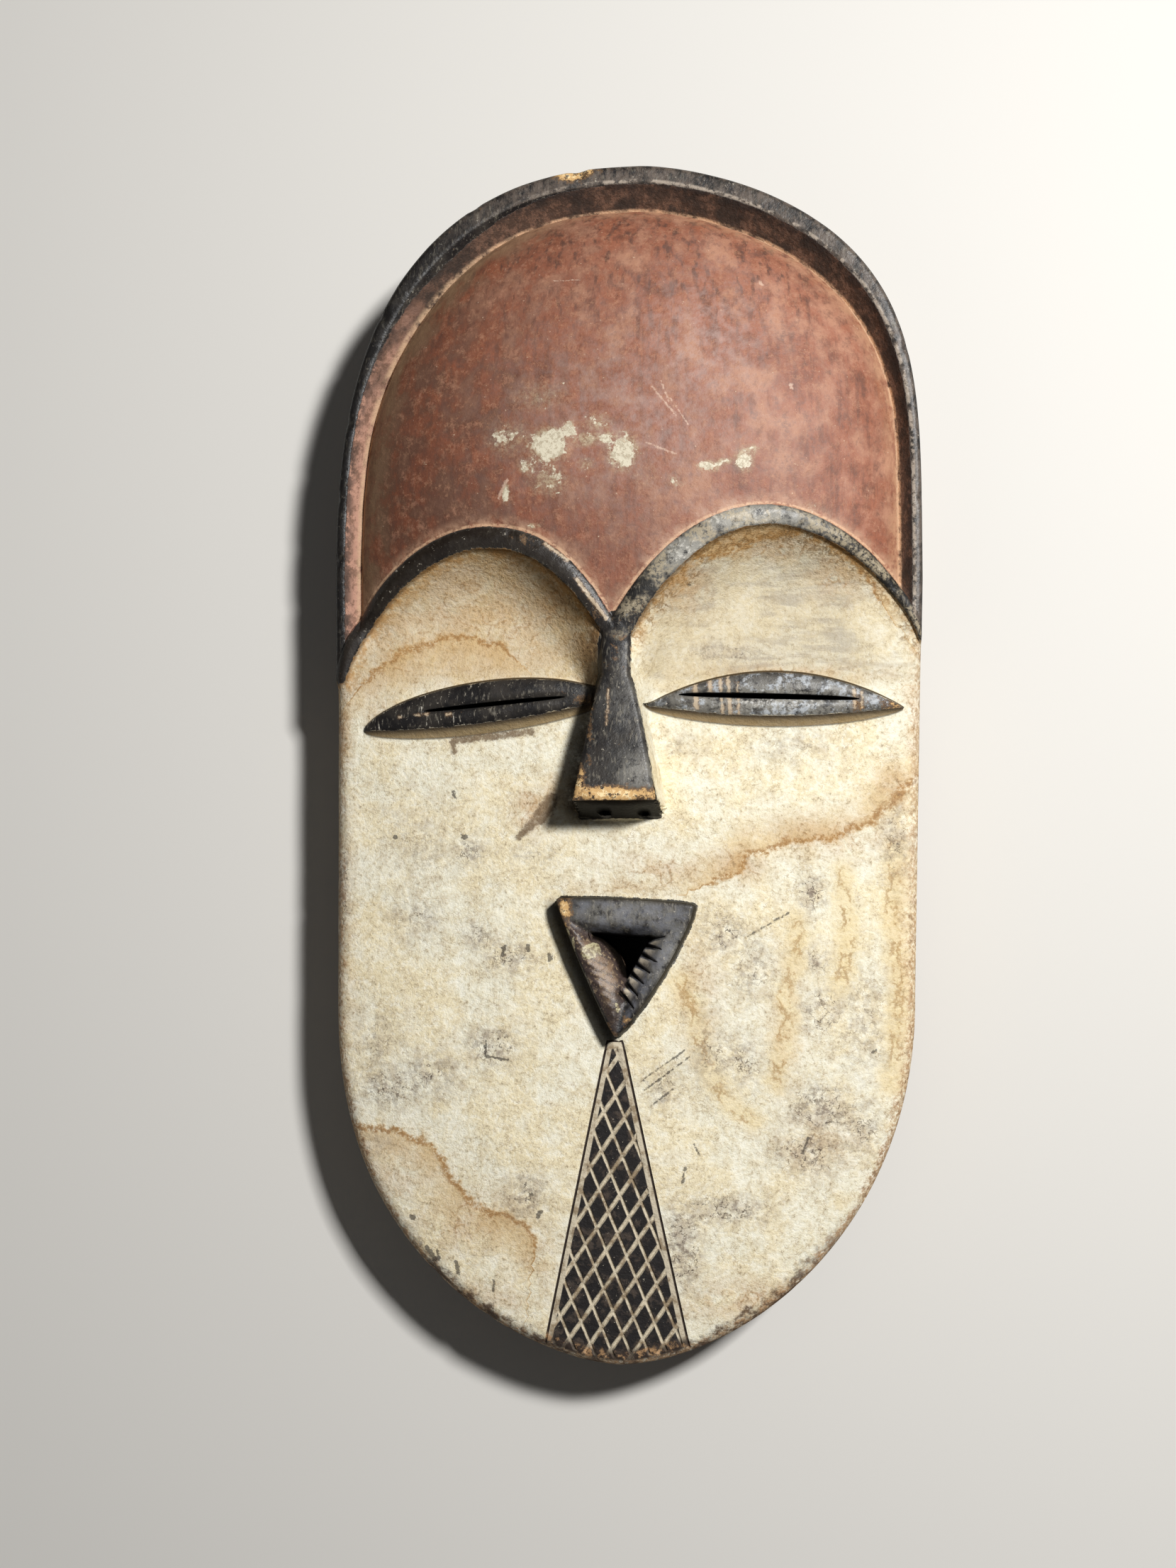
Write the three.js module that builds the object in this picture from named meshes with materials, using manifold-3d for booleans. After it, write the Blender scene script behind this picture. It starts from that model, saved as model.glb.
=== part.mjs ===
import * as THREE from "three";
import { mergeVertices } from "three/addons/utils/BufferGeometryUtils.js";
import Module from "manifold-3d";

// A carved face mask in one piece of wood. Millimetres throughout.
// X runs across the face, Y up to the crown, Z out of the face.
// The flat back rim lies in the plane Z = 0.

// Outline seen from the front
const CROWN_Y = 205.1;
const CROWN_X = 6;
const CHIN_Y = -204.9;
const CHIN_X = -2;
const CROWN_START_Y = 60;
const CHIN_START_Y = -80;
const LEFT_EDGE = {
  sign: -1, top: -100.8, bottom: -99.8, crownFull: 2.6, crownRound: 2.46, chinFull: 2.42, chinRound: 1.66,
};
const RIGHT_EDGE = {
  sign: 1, top: 102, bottom: 98.2, crownFull: 4.25, crownRound: 1.58, chinFull: 2.12, chinRound: 1.74,
};
const OUTLINE_POINTS = 86;
const DENSE_POINTS = 400;

// Side wall, from the back rim forward
const WALL_STEPS = [
  { inset: 2.5, z: 0 },
  { inset: 1.1, z: 9 },
  { inset: 0.2, z: 20 },
  { inset: 0, z: 28 },
  { inset: 0, z: 90 },
];

// Lower face board
const FACE_MID_Z = 45.5;
const FACE_FALL = 8;
const FACE_HALF_WIDTH = 100;
const CHIN_FALL = 6.5;
const CHIN_FALL_START_Y = -85;
const CHIN_FALL_LENGTH = 115;
const EDGE_RADIUS = 5;
const SOCKET_DEPTH = 2;
const SOCKET_X = 48;
const SOCKET_Y = 44;
const SOCKET_WIDE = 34;
const SOCKET_TALL = 19;
const LID_REACH_MIDDLE = 22;
const LID_REACH_END = 9;
const LID_CURVE = 2.3;
const LID_STEP = 0.4;
const LID_SHARES = [0, 0.1, 0.23, 0.42, 0.68];
const LID_TURNS = 3;
const BRIDGE_REACH = 16;
const BRIDGE_CURVE = 2.2;
const BRIDGE_FADE_Y = 4;
const BRIDGE_FULL_Y = 42;

// Forehead: raised rim, valley and dome
const CREST_END_Z = 39;
const CREST_TOP_Z = 50;
const CREST_START_Y = 30;
const CREST_RUN = 172;
const RIM_DROP_END = 3.5;
const RIM_DROP_TOP = 8;
const CREST_WIDTH_SIDE = 3.4;
const CREST_WIDTH_TOP = 5.8;
const SLOPE_WIDTH_LEFT = 5.4;
const SLOPE_WIDTH_RIGHT = 4.4;
const SLOPE_WIDTH_TOP = 9;
const RIM_WIDEN_START_Y = 112;
const RIM_WIDEN_RUN = 80;
const CREST_EDGE_DROP = 1.4;
const DOME_CENTRE_Y = 108;
const DOME_TOP_Z = 65;
const DOME_BROW_FALL = 5.5;
const DOME_BROW_RUN = 60;
const DOME_FULL = 2.2;
const DOME_ROUND = 0.62;

// Brow bands: a centre line with an inner and an outer arc, and a width along it
const LEFT_BROW = {
  peakX: -47.5, peakY: 73.1, startX: -2.2, endX: -98.7,
  inner: { run: 46, drop: 33.9, full: 2.5, round: 1 },
  outer: { run: 51.5, drop: 47, full: 1.75, round: 1.55 },
  halfWidth: { start: 2.6, middle: 3.6, end: 2 },
};
const RIGHT_BROW = {
  peakX: 52, peakY: 79.2, startX: 0.4, endX: 101.7,
  inner: { run: 56.5, drop: 50, full: 2.06, round: 1.23 },
  outer: { run: 53.3, drop: 60, full: 1.66, round: 2.11 },
  halfWidth: { start: 4.1, middle: 3.2, end: 1.1 },
};
const BROW_STEPS = 24;
const BROW_HEIGHT = 1.4;
const BROW_EDGE_HEIGHT = 0.8;
const BROW_ROOT_Z = 24;
const BROW_LEVEL_START = 0.8;
const BROW_LEVEL_RUN = 0.1;
const FOREHEAD_SINK = 9;
const FOREHEAD_SINK_RUN = 8;

// Nose wedge
const NOSE_X = -0.6;
const NOSE_TOP_Y = 47;
const NOSE_TIP_Y = -16.2;
const NOSE_FLARE_Y = 26;
const NOSE_BRIDGE_HALF = 4.8;
const NOSE_TIP_HALF = 13.7;
const NOSE_FLARE_POWER = 0.8;
const NOSE_TOP_Z = 60.5;
const NOSE_TIP_Z = 68;
const NOSE_RISE_POWER = 1.5;
const NOSE_DRAFT = 2.6;
const NOSE_ROOT_Z = 32;
const NOSE_UNDERCUT = 7.5;
const NOSE_STEPS = 14;
const NOSTRIL_RADIUS = 2.4;
const NOSTRIL_Z = 58;
const NOSTRIL_Y = -19.3;
const NOSTRIL_X = [-5, 8];

// Eyes: almonds between a top and a bottom edge, with a slit
const LEFT_EYE = {
  outer: [-90.4, 10], inner: [-4, 19.3], topRise: 11.1, topPower: 0.62, bottomDrop: 2.9, bottomPower: 1,
  slitOuter: [-68.2, 16.1], slitInner: [-19.2, 20.2], slitWidth: 1.1,
};
const RIGHT_EYE = {
  outer: [95.3, 16.3], inner: [8, 16.9], topRise: 11.3, topPower: 1, bottomDrop: 3.4, bottomPower: 1.2,
  slitOuter: [80.2, 18.9], slitInner: [19.6, 20.6], slitWidth: 1.5,
};
const EYE_STEPS = 16;
const EYE_PROUD = 3.4;
const EYE_CROWN = 0.8;
const EYE_FOOT_BELOW = 3.5;
const EYE_FOOT_ABOVE = 1.2;
const EYE_ROOT = 7;
const SLIT_BACK_Z = 18;
const SLIT_FRONT_Z = 60;
const SLIT_STEPS = 6;

// Mouth: a proud triangular ring with a funnel and teeth
const MOUTH_FRONT = [[-21.8, -48], [25.8, -50.4], [-1.5, -95.4]];
const MOUTH_CORNER_RADIUS = [1.4, 2.4, 2];
const MOUTH_FRONT_Z = 55;
const MOUTH_ROOT_Z = 36;
const MOUTH_DRAFT = 2.6;
const MOUTH_EDGE = 0.9;
const MOUTH_OPENING = [[-15.5, -56.5], [15.4, -58.5], [0.8, -89]];
const MOUTH_THROAT = [[-10.6, -58.5], [9.8, -60.5], [1.2, -77.5]];
const MOUTH_THROAT_Z = 47;
const MOUTH_HOLE_BACK_Z = 18;
const TOOTH_NOTCHES = 7;
const TOOTH_NOTCH_WIDTH = 1.7;
const TOOTH_NOTCH_DEPTH = 2.2;
const TOOTH_SHARE = 0.86;

// Engraved panel on the chin
const PANEL_X = -2.4;
const PANEL_TOP_Y = -99;
const PANEL_BOTTOM_Y = -200;
const PANEL_TOP_HALF = 3.2;
const PANEL_SPREAD = 0.213;
const PANEL_BORDER = 2.1;
const PANEL_CHIN_GAP = 3;
const LATTICE_X = -3.9;
const LATTICE_Y = -140;
const FALLING_SLOPE = 0.41;
const FALLING_SPACING = 6.2;
const RISING_SLOPE = -0.7;
const RISING_SPACING = 8.2;
const LATTICE_REACH = 9;
const GROOVE_WIDTH = 1.3;
const GROOVE_DEPTH = 0.85;
const BORDER_GROOVE_WIDTH = 0.9;
const GROOVE_LIFT = 0.6;
const GROOVE_SEGMENT = 34;

// Hollow behind the face
const RIM_FLAT = 9.6;
const HOLLOW_POINTS = 38;
const HOLLOW_WALL = [
  { inset: RIM_FLAT, z: -3 },
  { inset: RIM_FLAT + 0.5, z: 8 },
  { inset: RIM_FLAT + 2.6, z: 18 },
  { inset: RIM_FLAT + 7.5, z: 26 },
];
const HOLLOW_SHOULDER_INSET = 27;
const HOLLOW_FACE_Z = 31.5;
const HOLLOW_DOME_RISE = 18;
const HOLLOW_SIDE_FALL = 4;
const HOLLOW_DOME_HALF_WIDTH = 74;
const HOLLOW_DOME_HALF_HEIGHT = 84;
const HOLLOW_CENTRE_Y = 40;
const HOLLOW_SHARES = [0.82, 0.62, 0.4, 0.18];

const clamp01 = (value) => Math.min(1, Math.max(0, value));

function smooth(value) {
  const t = clamp01(value);
  return t * t * (3 - 2 * t);
}

function mix(a, b, share) {
  return a + (b - a) * share;
}

// A quarter of a squared-off ellipse: 1 at the start of the run, 0 at its end.
function quarter(share, full, round) {
  return Math.pow(Math.max(0, 1 - Math.pow(clamp01(share), full)), 1 / round);
}

// Where the outline crosses height y on one side.
function edgeX(edge, y) {
  if (y > CROWN_START_Y) {
    const share = (y - CROWN_START_Y) / (CROWN_Y - CROWN_START_Y);
    return CROWN_X + (edge.top - CROWN_X) * quarter(share, edge.crownFull, edge.crownRound);
  }
  if (y < CHIN_START_Y) {
    const share = (CHIN_START_Y - y) / (CHIN_START_Y - CHIN_Y);
    return CHIN_X + (edge.bottom - CHIN_X) * quarter(share, edge.chinFull, edge.chinRound);
  }
  return mix(edge.bottom, edge.top, (y - CHIN_START_Y) / (CROWN_START_Y - CHIN_START_Y));
}

function insideOutline(x, y) {
  return y < CROWN_Y && y > CHIN_Y && x < edgeX(RIGHT_EDGE, y) && x > edgeX(LEFT_EDGE, y);
}

// Distance from a point inside the outline to the outline along a direction.
function reachToEdge(x, y, dx, dy) {
  let near = 0;
  let far = 2 * CROWN_Y;
  for (let step = 0; step < 44; step += 1) {
    const middle = (near + far) / 2;
    if (insideOutline(x + dx * middle, y + dy * middle)) {
      near = middle;
    } else {
      far = middle;
    }
  }
  return near;
}

// Closed outline, evenly spaced, counter-clockwise, with inward normals.
function evenOutline(count) {
  const dense = [];
  for (let step = 0; step < DENSE_POINTS; step += 1) {
    const angle = (2 * Math.PI * step) / DENSE_POINTS;
    const reach = reachToEdge(0, 0, Math.cos(angle), Math.sin(angle));
    dense.push(new THREE.Vector2(Math.cos(angle) * reach, Math.sin(angle) * reach));
  }
  const lengths = [0];
  for (let step = 0; step < DENSE_POINTS; step += 1) {
    const next = dense[(step + 1) % DENSE_POINTS];
    lengths.push(lengths[step] + dense[step].distanceTo(next));
  }
  const total = lengths[DENSE_POINTS];
  const points = [];
  let at = 0;
  for (let index = 0; index < count; index += 1) {
    const wanted = (total * index) / count;
    while (lengths[at + 1] < wanted) {
      at += 1;
    }
    const share = (wanted - lengths[at]) / (lengths[at + 1] - lengths[at]);
    points.push(dense[at].clone().lerp(dense[(at + 1) % DENSE_POINTS], share));
  }
  return points.map((point, index) => {
    const before = points[(index + count - 1) % count];
    const after = points[(index + 1) % count];
    const along = after.clone().sub(before).normalize();
    return { x: point.x, y: point.y, inX: -along.y, inY: along.x };
  });
}

// Row of a region with a straight spine: the side, the length from spine to edge, and the share along it.
function spineFrame(x, y, lowY, highY) {
  const spineY = Math.min(highY, Math.max(lowY, y));
  const away = Math.hypot(x, y - spineY);
  const side = x < 0 ? LEFT_EDGE : RIGHT_EDGE;
  if (y === spineY || away < 1e-9) {
    return { away: Math.abs(x), reach: Math.abs(edgeX(side, y)), side };
  }
  return { away, reach: reachToEdge(0, spineY, x / away, (y - spineY) / away), side };
}

// Forehead
function rimWidths(side, y) {
  const widen = smooth((y - RIM_WIDEN_START_Y) / RIM_WIDEN_RUN);
  const slopeSide = side.sign < 0 ? SLOPE_WIDTH_LEFT : SLOPE_WIDTH_RIGHT;
  return {
    crest: mix(CREST_WIDTH_SIDE, CREST_WIDTH_TOP, widen),
    slope: mix(slopeSide, SLOPE_WIDTH_TOP, widen),
  };
}

function crestZ(y) {
  return mix(CREST_END_Z, CREST_TOP_Z, smooth((y - CREST_START_Y) / CREST_RUN));
}

function valleyZ(y) {
  const drop = mix(RIM_DROP_END, RIM_DROP_TOP, smooth((y - CREST_START_Y) / CREST_RUN));
  return crestZ(y) - drop;
}

function capHeightInFrame(frame, x, y) {
  const inset = frame.reach - frame.away;
  const scale = frame.away > 1e-6 ? frame.reach / frame.away : 0;
  const spineY = Math.min(DOME_CENTRE_Y, y);
  const edgeY = spineY + (y - spineY) * scale;
  const rim = rimWidths(frame.side, edgeY);
  if (inset < rim.crest) {
    const rounding = clamp01(1 - inset / 1.6);
    return crestZ(edgeY) - CREST_EDGE_DROP * rounding * rounding;
  }
  if (inset < rim.crest + rim.slope) {
    const share = (inset - rim.crest) / rim.slope;
    return mix(crestZ(edgeY), valleyZ(edgeY), Math.pow(share, 0.85));
  }
  const fall = Math.max(0, DOME_CENTRE_Y - y) / DOME_BROW_RUN;
  const top = DOME_TOP_Z - DOME_BROW_FALL * fall * fall;
  const rho = frame.away / (frame.reach - rim.crest - rim.slope);
  const profile = Math.pow(Math.max(0, 1 - Math.pow(rho, DOME_FULL)), DOME_ROUND);
  return mix(valleyZ(edgeY), top, profile);
}

function capHeight(x, y) {
  return capHeightInFrame(spineFrame(x, y, CHIN_Y, DOME_CENTRE_Y), x, y);
}

// Brow centre lines
function browY(brow, x) {
  const arc = Math.abs(x) < Math.abs(brow.peakX) ? brow.inner : brow.outer;
  const share = Math.abs(x - brow.peakX) / arc.run;
  return brow.peakY - arc.drop * (1 - quarter(share, arc.full, arc.round));
}

function browWidth(brow, share) {
  const { start, middle, end } = brow.halfWidth;
  const bend = 2 * share * (1 - share);
  return start * (1 - share) + end * share + bend * (2 * middle - start - end);
}

function browLine(brow) {
  const points = [];
  const dense = 240;
  for (let step = 0; step <= dense; step += 1) {
    const share = step / dense;
    const eased = (1 - Math.cos(Math.PI * share)) / 2;
    const x = mix(brow.startX, brow.endX, eased);
    points.push(new THREE.Vector2(x, browY(brow, x)));
  }
  const lengths = [0];
  for (let step = 0; step < dense; step += 1) {
    lengths.push(lengths[step] + points[step].distanceTo(points[step + 1]));
  }
  const line = [];
  let at = 0;
  for (let step = 0; step <= BROW_STEPS; step += 1) {
    const share = step / BROW_STEPS;
    const wanted = lengths[dense] * share;
    while (at < dense - 1 && lengths[at + 1] < wanted) {
      at += 1;
    }
    const part = (wanted - lengths[at]) / (lengths[at + 1] - lengths[at]);
    const point = points[at].clone().lerp(points[at + 1], part);
    const along = points[at + 1].clone().sub(points[at]).normalize();
    const up = new THREE.Vector2(-along.y, along.x).multiplyScalar(Math.sign(along.x));
    const topZ = capHeight(point.x, point.y);
    const half = browWidth(brow, share);
    line.push({ x: point.x, y: point.y, upX: up.x, upY: up.y, half, share, topZ, level: 0 });
  }
  return levelledEnd(line);
}

// Near its outer end the band no longer follows the valley and the rim but runs level across them.
function levelledEnd(line) {
  const from = line.find((point) => point.share >= BROW_LEVEL_START);
  return line.map((point) => {
    const along = clamp01((point.share - from.share) / (1 - from.share));
    const level = smooth((point.share - from.share) / BROW_LEVEL_RUN);
    return { ...point, level, topZ: mix(point.topZ, mix(from.topZ, CREST_END_Z, Math.sqrt(along)), level) };
  });
}

const LEFT_LINE = browLine(LEFT_BROW);
const RIGHT_LINE = browLine(RIGHT_BROW);

// Nearest point of one brow centre line: distance, side and place along it.
function nearestOnBrow(line, x, y) {
  let best = null;
  for (let step = 0; step < BROW_STEPS; step += 1) {
    const a = line[step];
    const b = line[step + 1];
    const dx = b.x - a.x;
    const dy = b.y - a.y;
    const share = clamp01(((x - a.x) * dx + (y - a.y) * dy) / (dx * dx + dy * dy));
    const px = a.x + dx * share;
    const py = a.y + dy * share;
    const distance = Math.hypot(x - px, y - py);
    if (best === null || distance < best.distance) {
      const above = (x - px) * mix(a.upX, b.upX, share) + (y - py) * mix(a.upY, b.upY, share) > 0;
      best = {
        distance,
        above,
        half: mix(a.half, b.half, share),
        share: mix(a.share, b.share, share),
        topZ: mix(a.topZ, b.topZ, share),
      };
    }
  }
  return best;
}

// Nose front
function noseHalf(y) {
  const share = clamp01((NOSE_FLARE_Y - y) / (NOSE_FLARE_Y - NOSE_TIP_Y));
  return NOSE_BRIDGE_HALF + (NOSE_TIP_HALF - NOSE_BRIDGE_HALF) * Math.pow(share, NOSE_FLARE_POWER);
}

function noseZ(y) {
  const share = clamp01((NOSE_TOP_Y - y) / (NOSE_TOP_Y - NOSE_TIP_Y));
  return mix(NOSE_TOP_Z, NOSE_TIP_Z, Math.pow(share, NOSE_RISE_POWER));
}

// Lower face
function boardZ(x, y) {
  const across = (x / FACE_HALF_WIDTH) * (x / FACE_HALF_WIDTH);
  const down = clamp01((CHIN_FALL_START_Y - y) / CHIN_FALL_LENGTH);
  const socketX = (Math.abs(x) - SOCKET_X) / SOCKET_WIDE;
  const socketY = (y - SOCKET_Y) / SOCKET_TALL;
  const socket = SOCKET_DEPTH * Math.exp(-socketX * socketX - socketY * socketY);
  return FACE_MID_Z - FACE_FALL * across - CHIN_FALL * down * down - socket;
}

// Rise of the lid toward the brow band: share of the full rise and the height it reaches.
function browRise(x, y) {
  const brow = nearestOnBrow(x < 0 ? LEFT_LINE : RIGHT_LINE, x, y);
  const clear = brow.above ? 0 : Math.max(0, brow.distance - brow.half);
  const reach = lidReach(brow.share);
  return {
    share: Math.pow(clamp01(1 - clear / reach), LID_CURVE),
    z: brow.topZ - LID_STEP,
  };
}

function lidReach(share) {
  return mix(LID_REACH_MIDDLE, LID_REACH_END, smooth((share - 0.55) / 0.45));
}

// Rise of the socket toward the bridge of the nose.
function bridgeRise(x, y) {
  const full = smooth((y - BRIDGE_FADE_Y) / (BRIDGE_FULL_Y - BRIDGE_FADE_Y));
  if (full <= 0) {
    return { share: 0, z: 0 };
  }
  const beside = Math.max(0, Math.abs(x - NOSE_X) - noseHalf(y));
  return { share: Math.pow(clamp01(1 - beside / (BRIDGE_REACH * full)), BRIDGE_CURVE), z: noseZ(y) - 1 };
}

// Rounding of the front edge of the board, zero away from the outline.
function edgeFall(x, y) {
  const frame = spineFrame(x, y, FACE_SPINE_LOW_Y, CROWN_Y);
  const inset = Math.max(0, Math.min(EDGE_RADIUS, frame.reach - frame.away));
  const back = EDGE_RADIUS - inset;
  return EDGE_RADIUS - Math.sqrt(EDGE_RADIUS * EDGE_RADIUS - back * back * 0.97);
}

function faceHeight(x, y) {
  const bridge = bridgeRise(x, y);
  return mix(boardZ(x, y), bridge.z, bridge.share) - edgeFall(x, y);
}

// The face board dips out of the way under the forehead.
function boardHeight(x, y) {
  const brow = nearestOnBrow(x < 0 ? LEFT_LINE : RIGHT_LINE, x, y);
  const sink = brow.above ? FOREHEAD_SINK * smooth(brow.distance / FOREHEAD_SINK_RUN) : 0;
  return faceHeight(x, y) - sink;
}

function lidHeight(x, y) {
  const brow = browRise(x, y);
  const bridge = bridgeRise(x, y);
  const lift = 1 - (1 - brow.share) * (1 - bridge.share);
  const weight = Math.max(1e-9, brow.share + bridge.share);
  const target = (brow.z * brow.share + bridge.z * bridge.share) / weight;
  return mix(boardZ(x, y), target, lift) - edgeFall(x, y);
}

// Solids from indexed triangles
const wasm = await Module();
wasm.setup();

// Six times the volume inside the triangles, negative when they face inward.
function signedVolume(position, triangles) {
  const corner = (at) => new THREE.Vector3().fromArray(position, triangles[at] * 3);
  let total = 0;
  for (let at = 0; at < triangles.length; at += 3) {
    total += corner(at).dot(corner(at + 1).cross(corner(at + 2)));
  }
  return total;
}

function solidFrom(geometry) {
  const bare = geometry.clone();
  bare.deleteAttribute("normal");
  bare.deleteAttribute("uv");
  const merged = mergeVertices(bare, 1e-5);
  const index = merged.index.array;
  const position = merged.attributes.position.array;
  const triangles = [];
  for (let at = 0; at < index.length; at += 3) {
    const [a, b, c] = [index[at], index[at + 1], index[at + 2]];
    if (a !== b && b !== c && c !== a) {
      triangles.push(a, b, c);
    }
  }
  if (signedVolume(position, triangles) < 0) {
    triangles.reverse();
  }
  const mesh = new wasm.Mesh({
    numProp: 3,
    vertProperties: new Float32Array(position),
    triVerts: new Uint32Array(triangles),
  });
  return new wasm.Manifold(mesh);
}

function geometryFrom(positions, index) {
  const geometry = new THREE.BufferGeometry();
  geometry.setAttribute("position", new THREE.Float32BufferAttribute(positions, 3));
  geometry.setIndex(index);
  return geometry;
}

// A solid through closed rings of equal length, capped at both ends by a fan about the ring middle.
function ringLoft(rings) {
  const positions = [];
  const index = [];
  const count = rings[0].length;
  rings.forEach((ring) => ring.forEach((point) => positions.push(...point)));
  for (let level = 0; level < rings.length - 1; level += 1) {
    for (let at = 0; at < count; at += 1) {
      const next = (at + 1) % count;
      const a = level * count + at;
      const b = level * count + next;
      index.push(a, b, b + count, a, b + count, a + count);
    }
  }
  const capRing = (level, flip) => {
    const middle = [0, 0, 0];
    rings[level].forEach((point) => point.forEach((value, axis) => {
      middle[axis] += value / count;
    }));
    const centre = positions.length / 3;
    positions.push(...middle);
    for (let at = 0; at < count; at += 1) {
      const a = level * count + at;
      const b = level * count + ((at + 1) % count);
      index.push(centre, flip ? b : a, flip ? a : b);
    }
  };
  capRing(0, true);
  capRing(rings.length - 1, false);
  return solidFrom(geometryFrom(positions, index));
}

// A board whose rows run from the left edge over a straight spine to the right edge.
// Rows go along the spine and then fan about its far end, so the last row folds on itself.
function spineBoard({ rowYs, fanY, fanSign, fanSteps, columns, height, backZ }) {
  const rows = rowYs.map((y) => ({
    spineY: y,
    left: { dx: -1, dy: 0, reach: Math.abs(edgeX(LEFT_EDGE, y)) },
    right: { dx: 1, dy: 0, reach: Math.abs(edgeX(RIGHT_EDGE, y)) },
  }));
  for (let step = 1; step <= fanSteps; step += 1) {
    const angle = (Math.PI / 2) * (step / fanSteps);
    const dx = step === fanSteps ? 0 : Math.cos(angle);
    const dy = Math.sin(angle) * fanSign;
    rows.push({
      spineY: fanY,
      left: { dx: -dx, dy, reach: reachToEdge(0, fanY, -dx, dy) },
      right: { dx, dy, reach: reachToEdge(0, fanY, dx, dy) },
    });
  }
  const grid = rows.map((row) => {
    const half = (arm, edge) => columns(arm.reach, row.spineY + arm.dy * arm.reach, edge).map((away) => [
      arm.dx * away, row.spineY + arm.dy * away,
    ]);
    const left = half(row.left, LEFT_EDGE);
    const right = half(row.right, RIGHT_EDGE);
    return [...left, ...right.reverse().slice(1)];
  });
  const width = grid[0].length;
  const positions = [];
  grid.forEach((row) => row.forEach(([x, y]) => positions.push(x, y, height(x, y))));
  grid.forEach((row) => row.forEach(([x, y]) => positions.push(x, y, backZ)));
  const below = grid.length * width;
  const index = [];
  const quad = (a, b, c, d) => {
    if (fanSign < 0) {
      index.push(a, b, c, a, c, d);
    } else {
      index.push(a, c, b, a, d, c);
    }
  };
  for (let row = 0; row < grid.length - 1; row += 1) {
    for (let column = 0; column < width - 1; column += 1) {
      const a = row * width + column;
      quad(a, a + width, a + width + 1, a + 1);
      quad(below + a, below + a + 1, below + a + width + 1, below + a + width);
    }
    const left = row * width;
    quad(left, below + left, below + left + width, left + width);
    const right = left + width - 1;
    quad(right, right + width, below + right + width, below + right);
  }
  for (let column = 0; column < width - 1; column += 1) {
    quad(column, column + 1, below + column + 1, below + column);
  }
  return solidFrom(geometryFrom(positions, index));
}

// Face board
const FACE_SPINE_LOW_Y = -100;
const FACE_SPINE_HIGH_Y = 90;
const FACE_FINE_Y = 14;
const FACE_FINE_STEP = 7.6;
const FACE_COARSE_STEP = 16;
const FACE_COLUMNS = 8;
const FACE_COLUMN_EASE = 1.45;
const OVERHANG = 3;

function faceRows() {
  const rows = [];
  let y = FACE_SPINE_HIGH_Y;
  while (y > FACE_SPINE_LOW_Y + FACE_COARSE_STEP / 2) {
    rows.push(y);
    y -= y > FACE_FINE_Y ? FACE_FINE_STEP : FACE_COARSE_STEP;
  }
  rows.push(FACE_SPINE_LOW_Y);
  return rows;
}

function faceColumns(reach) {
  const places = [reach + OVERHANG, reach, reach - EDGE_RADIUS * 0.14, reach - EDGE_RADIUS * 0.45];
  const inner = reach - EDGE_RADIUS;
  for (let step = 0; step <= FACE_COLUMNS; step += 1) {
    places.push(inner * Math.pow(1 - step / FACE_COLUMNS, FACE_COLUMN_EASE));
  }
  return places;
}

const faceBoard = spineBoard({
  rowYs: faceRows(),
  fanY: FACE_SPINE_LOW_Y,
  fanSign: -1,
  fanSteps: 8,
  columns: faceColumns,
  height: boardHeight,
  backZ: -2,
});

// Forehead board, kept above the brow lines
const CAP_LOW_Y = 24;
const CAP_STEP = 8;
const CAP_FAN_STEPS = 14;
const DOME_SHARES = [0.98, 0.92, 0.82, 0.67, 0.47, 0.24, 0];
const CAP_BACK_Z = -3;

function capRows() {
  const count = Math.round((DOME_CENTRE_Y - CAP_LOW_Y) / CAP_STEP);
  return Array.from({ length: count + 1 }, (unused, step) => mix(CAP_LOW_Y, DOME_CENTRE_Y, step / count));
}

function capColumns(reach, edgeY, edge) {
  const rim = rimWidths(edge, edgeY);
  const valley = reach - rim.crest - rim.slope;
  return [
    reach + OVERHANG,
    reach,
    reach - 0.8,
    reach - rim.crest + 0.4,
    reach - rim.crest - 0.4,
    valley,
    ...DOME_SHARES.map((share) => valley * share),
  ];
}

const capBoard = spineBoard({
  rowYs: capRows(),
  fanY: DOME_CENTRE_Y,
  fanSign: 1,
  fanSteps: CAP_FAN_STEPS,
  columns: capColumns,
  height: capHeight,
  backZ: CAP_BACK_Z,
});

function foreheadRegion() {
  const far = 2 * FACE_HALF_WIDTH;
  const shape = new THREE.Shape();
  shape.moveTo(-far, far * 2);
  shape.lineTo(-far, LEFT_LINE[BROW_STEPS].y);
  for (let step = BROW_STEPS; step >= 0; step -= 1) {
    shape.lineTo(LEFT_LINE[step].x, LEFT_LINE[step].y);
  }
  RIGHT_LINE.forEach((point) => shape.lineTo(point.x, point.y));
  shape.lineTo(far, RIGHT_LINE[BROW_STEPS].y);
  shape.lineTo(far, far * 2);
  const depth = DOME_TOP_Z + 30;
  const geometry = new THREE.ExtrudeGeometry(shape, { depth, bevelEnabled: false, steps: 1 });
  geometry.translate(0, 0, -10);
  return solidFrom(geometry);
}

// Brow band: sections across the centre line riding on the forehead height.
function browBand(line) {
  const rings = line.map((point) => {
    const place = (share, rise) => {
      const x = point.x + point.upX * point.half * share;
      const y = point.y + point.upY * point.half * share;
      return [x, y, mix(capHeight(x, y), point.topZ, point.level) + rise];
    };
    const low = place(-1, BROW_EDGE_HEIGHT);
    const high = place(1, BROW_EDGE_HEIGHT);
    return [
      [low[0], low[1], BROW_ROOT_Z],
      low,
      place(-0.55, BROW_HEIGHT),
      place(0.55, BROW_HEIGHT),
      high,
      [high[0], high[1], BROW_ROOT_Z],
    ];
  });
  return ringLoft(rings);
}

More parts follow.
